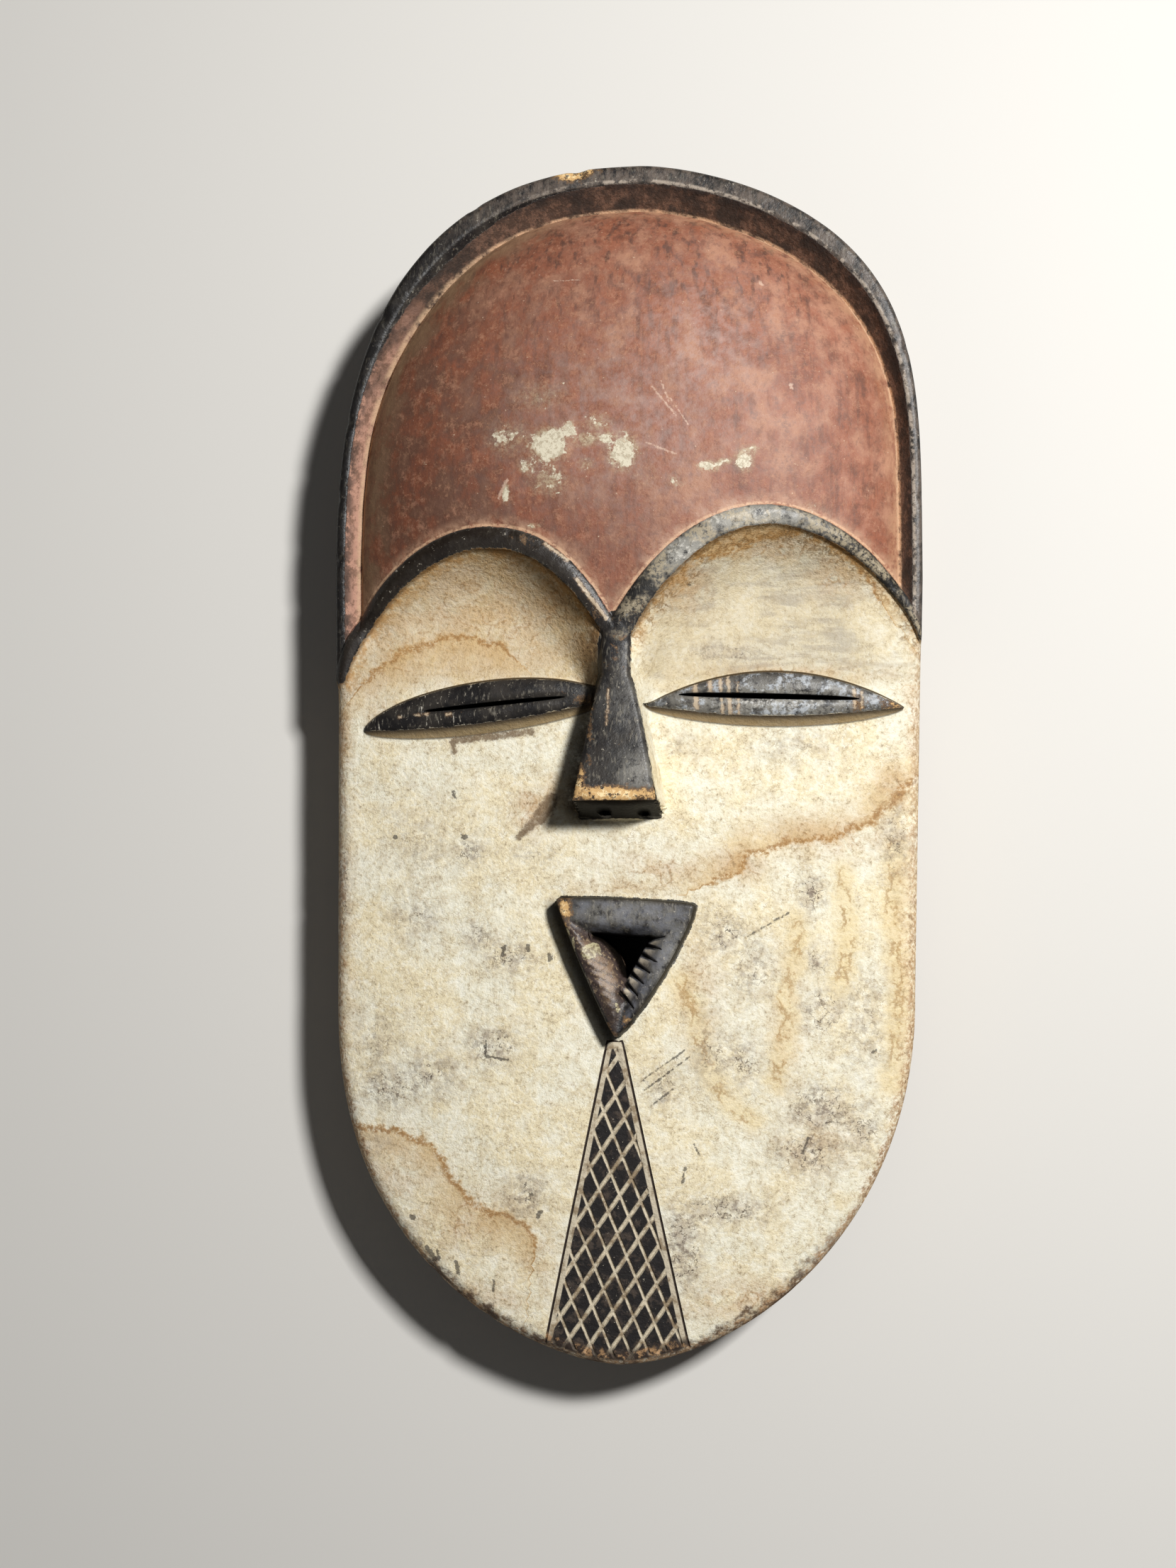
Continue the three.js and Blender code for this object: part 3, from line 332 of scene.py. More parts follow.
def brow_line(brow):
    """The band's centre line with its half width and the height that it follows."""
    eased = (1 - np.cos(np.linspace(0, math.pi, BROW_SAMPLES))) / 2
    x = mix(brow["start_x"], brow["end_x"], eased)
    peak_x, peak_y = brow["peak"]
    inner = np.abs(x) < abs(peak_x)
    drops = []
    for run, drop, full, blunt in (brow["inner"], brow["outer"]):
        drops.append(drop * (1 - quarter(np.abs(x - peak_x) / run, full, blunt)))
    path = evenly(np.stack([x, peak_y - np.where(inner, drops[0], drops[1])], axis=1), BROW_STEP)
    share = np.linspace(0, 1, len(path))
    start, middle, end = brow["half"]
    half = start * (1 - share) + end * share + 2 * share * (1 - share) * (2 * middle - start - end)
    top, _, _ = forehead(path[:, 0], path[:, 1])
    level = smooth((share - BROW_LEVEL_START) / BROW_LEVEL_RUN)
    along = np.clip((share - BROW_LEVEL_START) / (1 - BROW_LEVEL_START), 0, 1)
    start_top = np.interp(BROW_LEVEL_START, share, top)
    top = mix(top, mix(start_top, CREST_END_Z, np.sqrt(along)), level)
    return {"path": path, "half": half, "top": top, "level": level, "share": share}


BROWS = {-1: brow_line(LEFT_BROW), 1: brow_line(RIGHT_BROW)}
FAR = 400
FOREHEAD = np.vstack([
    [(-FAR, FAR), (-FAR, BROWS[-1]["path"][-1, 1])],
    BROWS[-1]["path"][::-1],
    BROWS[1]["path"],
    [(FAR, BROWS[1]["path"][-1, 1]), (FAR, FAR)],
])


def brow_measure(side, x, y):
    """Signed distance outside the band, and the band's own values beside each point."""
    brow = BROWS[side]
    distance, place, _ = nearest_on(brow["path"], x, y)
    steps = np.arange(len(brow["path"]))
    values = {key: np.interp(place, steps, brow[key]) for key in ("half", "top", "level", "share")}
    values["clear"] = distance - values["half"]
    values["middle"] = distance
    return values


print("brow bands, points:", [len(brow["path"]) for brow in BROWS.values()])

# %% [markdown]
# ## Lower face
# The face is a board that falls a little to both sides and to the chin, with a rounded edge. Above the
# eyes it sweeps up in a hollow curve to the lower edge of each brow band and to the bridge of the nose.

# %% Lower face
FACE_MID_Z, FACE_FALL, FACE_HALF_WIDTH = 45.5, 8, 100
CHIN_FALL, CHIN_FALL_START_Y, CHIN_FALL_LENGTH = 6.5, -85, 115
FACE_SPINE_LOW_Y = -100
EDGE_RADIUS = 5
SOCKET_DEPTH, SOCKET_X, SOCKET_Y, SOCKET_WIDE, SOCKET_TALL = 2, 48, 44, 34, 19
BRIDGE_REACH, BRIDGE_CURVE, BRIDGE_FADE_Y, BRIDGE_FULL_Y = 16, 2.2, 4, 42
NOSE_X, NOSE_TOP_Y, NOSE_TAPER_Y, NOSE_TIP_Y, NOSE_FLARE_Y = -0.6, 46, 36, -16.2, 26
NOSE_BRIDGE_HALF, NOSE_TIP_HALF, NOSE_FLARE_POWER = 4.8, 13.7, 0.8
NOSE_TOP_Z, NOSE_TIP_Z, NOSE_RISE_POWER = 58.6, 68, 1.4
NOSE_TAPER, BRIDGE_DROP, EDGE_ROUND_SHARE = 0.75, 1, 0.97
FAR_BELOW = -1e9


def nose_half(y):
    share = np.clip((NOSE_FLARE_Y - y) / (NOSE_FLARE_Y - NOSE_TIP_Y), 0, 1)
    taper = np.clip((y - NOSE_TAPER_Y) / (NOSE_TOP_Y - NOSE_TAPER_Y), 0, 1)
    half = NOSE_BRIDGE_HALF + (NOSE_TIP_HALF - NOSE_BRIDGE_HALF) * share ** NOSE_FLARE_POWER
    return half * (1 - NOSE_TAPER * taper ** 2)


def nose_z(y):
    share = np.clip((NOSE_TOP_Y - y) / (NOSE_TOP_Y - NOSE_TIP_Y), 0, 1)
    return mix(NOSE_TOP_Z, NOSE_TIP_Z, share ** NOSE_RISE_POWER)


def board_z(x, y):
    down = np.clip((CHIN_FALL_START_Y - y) / CHIN_FALL_LENGTH, 0, 1)
    across, along = (np.abs(x) - SOCKET_X) / SOCKET_WIDE, (y - SOCKET_Y) / SOCKET_TALL
    socket = SOCKET_DEPTH * np.exp(-across ** 2 - along ** 2)
    return FACE_MID_Z - FACE_FALL * (x / FACE_HALF_WIDTH) ** 2 - CHIN_FALL * down ** 2 - socket


def edge_fall(inset):
    back = EDGE_RADIUS - np.clip(inset, 0, EDGE_RADIUS)
    return EDGE_RADIUS - np.sqrt(EDGE_RADIUS ** 2 - EDGE_ROUND_SHARE * back ** 2)


def lids(x, y, brows, above):
    """Height of the board where it rises to the brow bands and to the bridge of the nose."""
    board = board_z(x, y)
    full = smooth((y - BRIDGE_FADE_Y) / (BRIDGE_FULL_Y - BRIDGE_FADE_Y))
    beside = np.maximum(0, np.abs(x - NOSE_X) - nose_half(y))
    bridge = np.clip(1 - beside / np.maximum(BRIDGE_REACH * full, 1e-6), 0, 1) ** BRIDGE_CURVE
    bridge = np.where(y > BRIDGE_FADE_Y, bridge, 0)
    bridge_top = nose_z(y) - BRIDGE_DROP
    height = np.full(x.shape, FAR_BELOW)
    for brow in brows.values():
        narrowing = smooth((brow["share"] - LID_NARROW_START) / (1 - LID_NARROW_START))
        reach = mix(LID_REACH_MIDDLE, LID_REACH_END, narrowing)
        rise = np.clip(1 - np.maximum(0, brow["clear"]) / reach, 0, 1) ** LID_CURVE
        rise = np.where(above, 0, rise)
        target = (brow["top"] - LID_STEP) * rise + bridge_top * bridge
        target = target / np.maximum(1e-9, rise + bridge)
        height = np.maximum(height, mix(board, target, 1 - (1 - rise) * (1 - bridge)))
    return height


print("board at the middle, mm:", FACE_MID_Z, "at the sides:", FACE_MID_Z - FACE_FALL)

# %% [markdown]
# ## Nose, eyes and mouth
# The nose is a flat-fronted wedge that widens to the tip. The eyes are proud almonds with a slit, and
# below each one the wood slopes back to the face. The mouth is a proud triangle round a pierced
# throat, with a bulging left lip and a notched right lip.

# %% Nose
NOSE_SIDE_SLOPE = 12
NOSE_UNDER_SLOPE = 4.8
NOSE_EDGE_DROP, NOSE_EDGE_WIDTH = 1.0, 1.5
NOSE_TIP_ROUND, NOSE_TIP_EDGE = 1.4, 0.7
NOSE_CROWN, NOSE_UNDER_BOW, NOSE_UNDER_EASE, NOSE_ABOVE_SLOPE = 0.5, 0.9, 1.2, 6
NOSTRILS = ((-5, -19.2), (8, -19.4))
NOSTRIL_DEPTH, NOSTRIL_WIDE, NOSTRIL_TALL = 9, 1.9, 1.0


def nose_outline():
    y = np.linspace(NOSE_TOP_Y, NOSE_TIP_Y, 50)
    half = nose_half(y)
    right = np.stack([NOSE_X + half, y], axis=1)
    left = np.stack([NOSE_X - half, y], axis=1)
    return anticlockwise(np.vstack([left, right[::-1]]))


NOSE = nose_outline()


def nose_height(x, y):
    beside = np.abs(x - NOSE_X) - nose_half(y)
    edge = smooth((beside + NOSE_EDGE_WIDTH) / NOSE_EDGE_WIDTH) ** 2
    tip = smooth((NOSE_TIP_Y + NOSE_TIP_ROUND - y) / NOSE_TIP_ROUND) ** 2
    across = np.clip(np.abs(x - NOSE_X) / nose_half(y), 0, 1)
    edge = np.maximum(edge, NOSE_TIP_EDGE * tip)
    front = nose_z(y) + NOSE_CROWN * (1 - across ** 2) - NOSE_EDGE_DROP * edge
    sides = NOSE_SIDE_SLOPE * np.maximum(beside, 0)
    bow = NOSE_UNDER_BOW * (1 - across ** 2)
    under = NOSE_UNDER_SLOPE * np.maximum(NOSE_TIP_Y - y, 0)
    under = under - np.minimum(under, bow * np.maximum(NOSE_TIP_Y - y, 0) * NOSE_UNDER_EASE)
    above = NOSE_ABOVE_SLOPE * np.maximum(y - NOSE_TOP_Y, 0)
    return front - sides - under - above


def nostril_depth(x, y):
    depth = 0
    for nostril_x, nostril_y in NOSTRILS:
        across, along = (x - nostril_x) / NOSTRIL_WIDE, (y - nostril_y) / NOSTRIL_TALL
        depth = depth + NOSTRIL_DEPTH * np.exp(-across ** 4 - along ** 2)
    return depth


print("nose, mm:", NOSE_TOP_Y - NOSE_TIP_Y, "long,", 2 * NOSE_TIP_HALF, "wide at the tip")

# %% Eyes
EYES = {
    -1: {"outer": (-90.4, 10), "inner": (-4, 19.3), "top": (11.1, 0.62), "bottom": (2.9, 1),
         "slit": ((-68.2, 16.1), (-19.2, 20.2), 1.5)},
    1: {"outer": (95.3, 16.3), "inner": (8, 16.9), "top": (11.3, 1), "bottom": (3.4, 1.2),
        "slit": ((80.2, 18.9), (19.6, 20.6), 1.9)},
}
EYE_PROUD, EYE_CROWN = 3.4, 0.9
EYE_SLOPE_BELOW, EYE_SLOPE_ABOVE = 0.72, 3.2
EYE_TILT, EYE_EDGE_DROP, EYE_EDGE_POWER, EYE_END_POWER = 0.35, 0.5, 7, 0.4
SLIT_END, SLIT_POWER = 0.12, 0.45


def eye_edges(eye, share):
    chord = mix(eye["outer"][1], eye["inner"][1], share)
    bow = 4 * share * (1 - share)
    (rise, rise_power), (drop, drop_power) = eye["top"], eye["bottom"]
    return chord + rise * bow ** rise_power, chord - drop * bow ** drop_power, bow


def eye_outline(eye):
    share = (1 - np.cos(np.linspace(0, math.pi, 61))) / 2
    x = mix(eye["outer"][0], eye["inner"][0], share)
    top, bottom, _ = eye_edges(eye, share)
    upper, lower = np.stack([x, top], axis=1), np.stack([x, bottom], axis=1)
    return anticlockwise(np.vstack([upper, lower[-2:0:-1]]))


def slit_outline(eye):
    (x0, y0), (x1, y1), width = eye["slit"]
    share = np.linspace(0, 1, 33)
    half = width / 2 * (SLIT_END + (1 - SLIT_END) * (4 * share * (1 - share)) ** SLIT_POWER)
    length = math.hypot(x1 - x0, y1 - y0)
    across = np.array([-(y1 - y0), x1 - x0]) / length
    line = np.stack([mix(x0, x1, share), mix(y0, y1, share)], axis=1)
    upper, lower = line + across * half[:, None], line - across * half[:, None]
    return anticlockwise(np.vstack([upper, lower[::-1]]))


EYE_LOOPS = {side: eye_outline(eye) for side, eye in EYES.items()}
SLITS = {side: slit_outline(eye) for side, eye in EYES.items()}


def eye_height(side, x, y):
    """Height of one eye's front and of the slopes round it, with the signed distance to its edge."""
    eye = EYES[side]
    share = np.clip((x - eye["outer"][0]) / (eye["inner"][0] - eye["outer"][0]), 0.0005, 0.9995)
    top, bottom, bow = eye_edges(eye, share)
    middle, half = (top + bottom) / 2, (top - bottom) / 2
    inner_y = np.clip(y, bottom, top)
    across = (inner_y - middle) / np.maximum(half, 0.05)
    soft = bow ** EYE_END_POWER
    level = board_z(x, middle)
    front = level + EYE_TILT * (board_z(x, inner_y) - level)
    edge_drop = EYE_EDGE_DROP * np.abs(across) ** EYE_EDGE_POWER
    front = front + soft * (EYE_PROUD + EYE_CROWN * (1 - across ** 2) - edge_drop)
    distance = loop_distance(EYE_LOOPS[side], x, y)
    slope = np.where(y < middle, EYE_SLOPE_BELOW, EYE_SLOPE_ABOVE)
    height = front - slope * np.maximum(distance, 0)
    return height, distance, height - board_z(x, y)


print("eyes, mm long:", [round(float(np.ptp(loop[:, 0])), 1) for loop in EYE_LOOPS.values()])

# %% Mouth
MOUTH_FRONT = np.array([(-21.8, -48), (25.8, -50.4), (-1.5, -95.4)])
MOUTH_CORNERS = (1.6, 2.6, 2.4)
MOUTH_BOWS = (0.6, 2.3, 0.9)
MOUTH_OPENING = np.array([(-17.2, -55.9), (17.2, -58.4), (0.2, -92)])
THROAT_EDGE = np.array([
    (-9.4, -60.4), (9.4, -61.8), (7.4, -65.2), (4.8, -69.8), (2, -74.8), (0.8, -72.6), (-0.8, -68.6),
    (-3, -65), (-6, -62),
])
MOUTH_FRONT_Z, MOUTH_THROAT_Z, MOUTH_WALL_SLOPE, MOUTH_EDGE = 55, 47, 20, 1.1
TEETH = (
    ((9.3, -62.9), (14.4, -62.9)), ((8.3, -65.3), (12.9, -67.4)), ((6.3, -68.8), (11.3, -71.3)),
    ((4.4, -71.9), (8.9, -74.8)), ((3.0, -75.1), (6.7, -78.3)), ((1.0, -78.4), (5.1, -82.7)),
)
NOTCH_DEPTH, NOTCH_INNER, NOTCH_OUTER, NOTCH_END_SHARE = 2.2, 1.2, 0.5, 0.5
WALL_POWERS, WALL_BEYOND, MOUTH_FILLET = (0.5, 0.7, 0.36), 0.25, 0.9
LIP_BULGE, LIP_SOFT = 1.1, 3
RIB_HEIGHT, RIB_TURN, RIB_SLANT, RIB_WAVER = 0.16, 2.4, 0.5, 1.5
NOTCH_BEYOND = 0.8


def rounded(corners, radii, bows=(0, 0, 0)):
    """A triangle given clockwise, with each corner a short curve and each side bowed outward."""
    points = []
    for at, radius in enumerate(radii):
        corner = corners[at]
        ends = []
        for other in (corners[at - 1], corners[(at + 1) % 3]):
            ends.append(corner + (other - corner) / np.hypot(*(other - corner)) * radius)
        for share in np.linspace(0, 1, 6):
            points.append(mix(mix(ends[0], corner, share), mix(corner, ends[1], share), share))
        run = corners[(at + 1) % 3] - corner
        outward = np.array([-run[1], run[0]]) / np.hypot(*run)
        for share in np.linspace(0.1, 0.9, 9):
            points.append(corner + run * share + outward * bows[at] * 4 * share * (1 - share))
    return anticlockwise(np.array(points))


MOUTH = rounded(MOUTH_FRONT, MOUTH_CORNERS, MOUTH_BOWS)
THROAT = anticlockwise(evenly(closed_path(THROAT_EDGE), 0.7)[:-1])
LEFT_LIP = np.vstack([
    [(-1.4, -93.4), (-11.2, -74), (-19.4, -55.6), (-16.4, -55.4)],
    THROAT_EDGE[[0, 8, 7, 6, 5, 4]],
    [(1.4, -84)],
])


def line_distance(start, end, x, y):
    """Signed distance to the straight line through two points, positive on its left."""
    dx, dy = end[0] - start[0], end[1] - start[1]
    return (dx * (y - start[1]) - dy * (x - start[0])) / math.hypot(dx, dy)


def notch_lines():
    """Lines of the notches between neighbouring tooth ridges, and one beyond each end."""
    ridges = np.array(TEETH, float)
    first = ridges[0] + (ridges[0] - ridges[1]) * NOTCH_BEYOND
    last = ridges[-1] + (ridges[-1] - ridges[-2]) * NOTCH_BEYOND
    rows = np.concatenate([[first], ridges, [last]])
    return (rows[:-1] + rows[1:]) / 2


NOTCHES = notch_lines()
TEETH_AREA = anticlockwise(np.vstack([NOTCHES[:, 0], NOTCHES[::-1, 1]]))


def mouth_height(x, y):
    outer = loop_distance(MOUTH, x, y)
    turn = np.clip((outer + MOUTH_EDGE) / MOUTH_EDGE, 0, 1)
    ring = MOUTH_FRONT_Z - MOUTH_EDGE * (1 - np.sqrt(1 - ROUND_SHARE * turn ** 2))
    ring = ring - MOUTH_WALL_SLOPE * np.maximum(outer, 0)
    funnel = np.full(x.shape, FAR_BELOW)
    throat_out = loop_distance(THROAT, x, y)
    for at, power in enumerate(WALL_POWERS):
        following = (at + 1) % 3
        open_in = -line_distance(MOUTH_OPENING[at], MOUTH_OPENING[following], x, y)
        share = np.maximum(throat_out, 0) / np.maximum(np.maximum(throat_out, 0) + open_in, 1e-3)
        share = np.where(open_in < 0, 1 - open_in * WALL_BEYOND, share)
        lip = mix(MOUTH_THROAT_Z, MOUTH_FRONT_Z, np.maximum(share, 0) ** power)
        funnel = np.maximum(funnel, lip)
    height = soft_min(ring, funnel, MOUTH_FILLET)
    notch = np.zeros(x.shape)
    for line in NOTCHES:
        distance, place, _ = nearest_on(line, x, y)
        half = mix(NOTCH_INNER, NOTCH_OUTER, place)
        cut = np.clip(1 - distance / half, 0, 1) * mix(1, NOTCH_END_SHARE, place)
        notch = np.maximum(notch, cut)
    ribs = RIB_HEIGHT * np.sin((y + RIB_SLANT * x) * RIB_TURN + RIB_WAVER * unevenness(x, y, 5, 9))
    bulge = smooth(-loop_distance(LEFT_LIP, x, y) / LIP_SOFT)
    height = height + (LIP_BULGE + ribs) * bulge * (outer < 0)
    return height - NOTCH_DEPTH * notch, outer, notch


print("notches between the teeth:", len(NOTCHES))

# %% [markdown]
# ## Chin panel
# A long triangle of scored lines runs from the mouth to the chin. A thin cut frames it on both sides,
# a scraped band lies inside the cut, and two families of slanting lines cross between the bands.

# %% Chin panel
PANEL_X, PANEL_TOP_Y, PANEL_TOP_HALF, PANEL_SPREAD = -2.4, -99, 3.2, 0.213
PANEL_BORDER = 2.1
LATTICE_X, LATTICE_Y = -3.9, -140
FALLING = {"slope": 0.41, "spacing": 6.2}
RISING = {"slope": -0.70, "spacing": 8.2}
GROOVE_WIDTH, GROOVE_DEPTH = 1.35, 0.85
PANEL_CHIN_GAP, PANEL_TOP_GAP = 3, 3


def panel_in(x, y):
    """How far a point lies inside the panel's framing cut."""
    half = PANEL_TOP_HALF + PANEL_SPREAD * (PANEL_TOP_Y - y)
    side = (half - np.abs(x - PANEL_X)) / math.hypot(1, PANEL_SPREAD)
    return np.minimum(side, PANEL_TOP_Y + PANEL_TOP_GAP - y)


print("panel at the chin, mm wide:", round(2 * (PANEL_TOP_HALF + PANEL_SPREAD * (PANEL_TOP_Y - CHIN_Y))))

# %% [markdown]
# ## One surface
# All the forms above become one height over the plan of the mask, joined with small fillets. The same
# pass keeps the distances, because the paint needs them later.

# %% Height of the front
BAND_CROWN, BAND_WALL_SLOPE, BAND_END_FALL, BAND_FILLET = 0.7, 3.2, 0.6, 0.35
NOSE_FILLET, BRIDGE_FILLET, EYE_FILLET, MOUTH_FOOT_FILLET = 0.7, 2.2, 0.45, 0.6
NOSTRIL_FLOOR_Z = 46
SLIT_DIP, SLIT_DIP_WIDTH = 0.7, 0.8
# Unevenness left by the knife: height, size and seed of each kind.
KNIFE_MARKS = ((0.16, 11, 3), (0.1, 4.5, 4))
DOME_LUMPS, DOME_STREAKS, STREAK_STRETCH = (0.14, 9, 5), (0.05, 2.2, 6), 0.3
SLIT_CALM, SLIT_CALM_REACH = 0.25, 3
CHIP_RAGGED, CHIP_RAGGED_SIZE, CHIP_RAGGED_SEED, CHIP_REACH = 0.35, 0.9, 7, 1.25
# Chips along the edges: place, radius and depth.
CHIPS = (
    (-15.5, 204, 3.4, 1.6), (-52, 193, 2.4, 1.0), (-84, 155, 2.2, 1.0), (-97, 118, 2.6, 1.1),
    (-100.5, 92, 2.0, 1.0), (-100.8, 70, 2.4, 1.2), (44, 199.5, 2.0, 0.8), (97.5, 139, 2.0, 0.9),
    (101.8, 88, 1.8, 0.8), (-36, 74.5, 2.2, 0.7), (-78.5, -163, 2.4, 1.0), (-66, -176, 2.8, 1.2),
    (-46, -189, 2.6, 1.1), (60, -179.5, 3.0, 1.2), (84, -153, 2.6, 1.0), (98.4, -20, 2.4, 1.0),
    (-99.9, -40, 2.2, 0.8), (-12, -16, 2.4, 0.8), (13.6, -15.6, 2.0, 0.6), (-21.5, -48.5, 2.6, 0.9),
)


def front(x, y):
    """Height of the whole front, with the distances that the paint follows."""
    brows = {side: brow_measure(side, x, y) for side in (-1, 1)}
    above = is_inside(FOREHEAD, x, y)
    away, reach = spine_frame(x, y, FACE_SPINE_LOW_Y, CROWN_Y)
    inset = reach - away
    cap, crest, valley = forehead(x, y)
    z = np.where(above, cap, lids(x, y, brows, above) - edge_fall(inset))
    band = np.full(x.shape, FAR_OUT)
    for brow in brows.values():
        across = np.clip(brow["middle"] / brow["half"], 0, 1)
        rise = BROW_HEIGHT - BAND_CROWN * across ** 2
        ridge = mix(np.where(above, cap, brow["top"]), brow["top"], brow["level"]) + rise
        ridge = np.minimum(ridge, mix(ridge, brow["top"] + rise, across))
        wall = ridge - BAND_WALL_SLOPE * np.maximum(brow["clear"], 0) - BAND_END_FALL * edge_fall(inset)
        z = soft_max(z, wall, BAND_FILLET)
        band = np.minimum(band, brow["clear"])
    fillet = mix(NOSE_FILLET, BRIDGE_FILLET, smooth((y - NOSE_FLARE_Y) / 10))
    z = soft_max(z, nose_height(x, y), fillet)
    z = z - np.minimum(nostril_depth(x, y), np.maximum(z - NOSTRIL_FLOOR_Z, 0))
    eye = np.full(x.shape, FAR_OUT)
    slit = np.full(x.shape, FAR_OUT)
    sill = np.full(x.shape, FAR_BELOW)
    for side in (-1, 1):
        height, distance, rise = eye_height(side, x, y)
        z = soft_max(z, height, EYE_FILLET)
        eye = np.minimum(eye, distance)
        sill = np.maximum(sill, rise)
        slit = np.minimum(slit, loop_distance(SLITS[side], x, y))
    z = z - SLIT_DIP * np.exp(-(np.maximum(slit, 0) / SLIT_DIP_WIDTH) ** 2)
    mouth, outer, notch = mouth_height(x, y)
    z = np.where(outer < 0, mouth, soft_max(z, mouth, MOUTH_FOOT_FILLET))
    nose = loop_distance(NOSE, x, y)
    return z, {
        "above": above, "inset": inset, "crest": crest, "valley": valley, "band": band, "eye": eye,
        "slit": slit, "sill": sill, "mouth": outer, "notch": notch, "nose": nose, "panel": panel_in(x, y),
    }


def hand_work(x, y, d):
    """Small unevenness left by the knife, and the chips along the edges."""
    adze = sum(height * unevenness(x, y, size, seed) for height, size, seed in KNIFE_MARKS)
    dome = DOME_LUMPS[0] * unevenness(x, y, *DOME_LUMPS[1:])
    dome = dome + DOME_STREAKS[0] * unevenness(x, y * STREAK_STRETCH, *DOME_STREAKS[1:])
    drop = np.where(d["above"] & (d["valley"] > 0), dome, adze)
    from_slit = np.minimum(d["slit"], SLIT_CALM_REACH) / SLIT_CALM_REACH
    drop = drop * np.clip(SLIT_CALM + from_slit, SLIT_CALM, 1)
    for chip_x, chip_y, radius, depth in CHIPS:
        ragged = radius * (1 + CHIP_RAGGED * unevenness(x, y, CHIP_RAGGED_SIZE, CHIP_RAGGED_SEED))
        share = np.hypot(x - chip_x, y - chip_y) / ragged
        drop = drop - depth * smooth(CHIP_REACH - share)
    return drop


print("chips:", len(CHIPS))

# %% [markdown]
# ## Small dark marks
# Drips, specks, smears and scratches are too small for the loose net. Each is kept here as a short
# stroke, from x, y to x, y with half its width, and the net is drawn closer along each of them.

# %% Strokes
STROKES = (
    (-67.4, -166.5, -64.4, -170.5, 1.0), (-63.6, -167.5, -63.1, -170, 0.6),
    (-57.1, -171.4, -56.3, -174.6, 0.8), (-44, -177.3, -44.2, -180.3, 0.6),
    (-72.4, -156.1, -72.1, -156.4, 0.9), (-31, -147.5, -30.7, -147.8, 0.5),
    (-28.8, -155.2, -27.8, -153.1, 0.7), (-58.2, -11.6, -57.6, -13.4, 0.6),
    (-54.6, -27, -54, -27.2, 0.9), (-78.9, -26.7, -78.5, -26.9, 0.7),
    (-40.2, -64.4, -40.7, -67.4, 0.6), (-31.8, -64.4, -31.9, -65.4, 0.9),
    (-24.6, -66.9, -24.4, -68.6, 0.8), (-46.5, -96.5, -46.5, -101, 0.4),
    (-46.5, -101.4, -38.5, -102.6, 0.4), (84.4, -99.2, 84.1, -99.5, 0.7),
    (23.6, 57.2, 23.3, 57, 0.5), (55.9, -53.1, 42.4, -60.9, 0.3),
    (22.8, -101, 7.6, -112.3, 0.25), (20.9, -99.1, 6.6, -109.2, 0.2), (9, -118, 17, -112, 0.3),
    (62, -128, 60, -133, 0.4), (24, -130, 26, -134, 0.4), (21, -138, 20, -143, 0.4),
)
SMEARS = (
    (-24, -14.5, -28, -20.7, 2.4), (-28, -20.7, -31.9, -24.1, 1.5),
    (-31.9, -24.1, -35.4, -27.4, 1.1), (-58.6, 5.4, -57.8, 2.4, 0.9), (-58, 6, -31, 8.6, 1.2),
)
SCRATCHES = (
    (-22, 161.5, -13, 161.2, 0.1), (12, 122, 20, 112, 0.3), (15, 124, 17.6, 117, 0.2),
    (18, 118, 24, 109, 0.15), (10, 103, 20, 99, 0.3), (-37, 92, -40, 86, 0.5),
    (-3, 21, -3.4, 9, 0.12), (-71, 14.7, -69.9, 14.8, 0.4), (-67.3, 15, -66.8, 15, 0.4),
    (-77, 14.2, -76.4, 14.3, 0.35), (-60, 14.6, -58.6, 14.8, 0.35), (58, 123, 58.4, 122, 0.6),
    (48, 160, 48.6, 159.2, 0.5), (25.2, 23.4, 25.6, 16, 0.8), (30, 24.6, 30.4, 21, 0.7),
    (33.6, 25.6, 34.4, 13.6, 0.45), (36.2, 26.2, 37, 13.4, 0.6), (39.4, 24, 39.8, 14, 0.35),
    (78.5, 21.8, 78.6, 15.8, 0.5), (81, 21, 81, 16, 0.35), (-13.5, 58, -3.8, 45, 0.6),
    (-24, 70, -16.5, 64.4, 0.5),
)
NO_STROKE_NEAR = 1e3


def stroke_distance(strokes, x, y):
    """Distance to the nearest stroke's edge in millimetres, negative inside it."""
    best = np.full(x.shape, NO_STROKE_NEAR)
    for x0, y0, x1, y1, half in strokes:
        distance, _, _ = nearest_on(((x0, y0), (x1, y1)), x, y)
        best = np.minimum(best, distance - half)
    return best


print("strokes, smears, scratches:", len(STROKES), len(SMEARS), len(SCRATCHES))

# %% [markdown]
# ## The front mesh
# A plain grid would need millions of faces to hold these edges. So rows of points follow each carved
# edge, close together across it and wider along it, and a looser net fills the ground between. One
# Delaunay triangulation joins them all, and keeps the rows as edges.

# %% Rows of points along the edges
OWN_SHARE, OWN_SLACK = 0.97, 0.02
rows = []


def keep_row(points, gap, good=True):
    """A row of points, with the least room that each point needs and whether it may be used."""
    rows.append({"points": points, "gap": gap, "good": np.broadcast_to(good, len(points))})


def beside(path, offset):
    """The path moved sideways, to its right for a positive offset."""
    along = np.gradient(path, axis=0)
    along = along / np.hypot(along[:, 0], along[:, 1])[:, None]
    return path + np.stack([along[:, 1], -along[:, 0]], axis=1) * offset


def add_rows(path, offsets, step, gap, closed=False):
    """Rows beside a path. Points that come too near another part of the same path are left out."""
    path = closed_path(path) if closed else path
    line = evenly(path, step)
    for offset in offsets:
        row = beside(line, offset)
        if closed:
            row[-1] = row[0]
        distance, _, _ = nearest_on(line, row[:, 0], row[:, 1])
        keep_row(row, gap, distance > abs(offset) * OWN_SHARE - OWN_SLACK)


# %% Rows for the eyes, nose and mouth
UNDER_NOSE_POINTS, UNDER_NOSE_REACH = 34, NOSE_TIP_HALF + 1.5

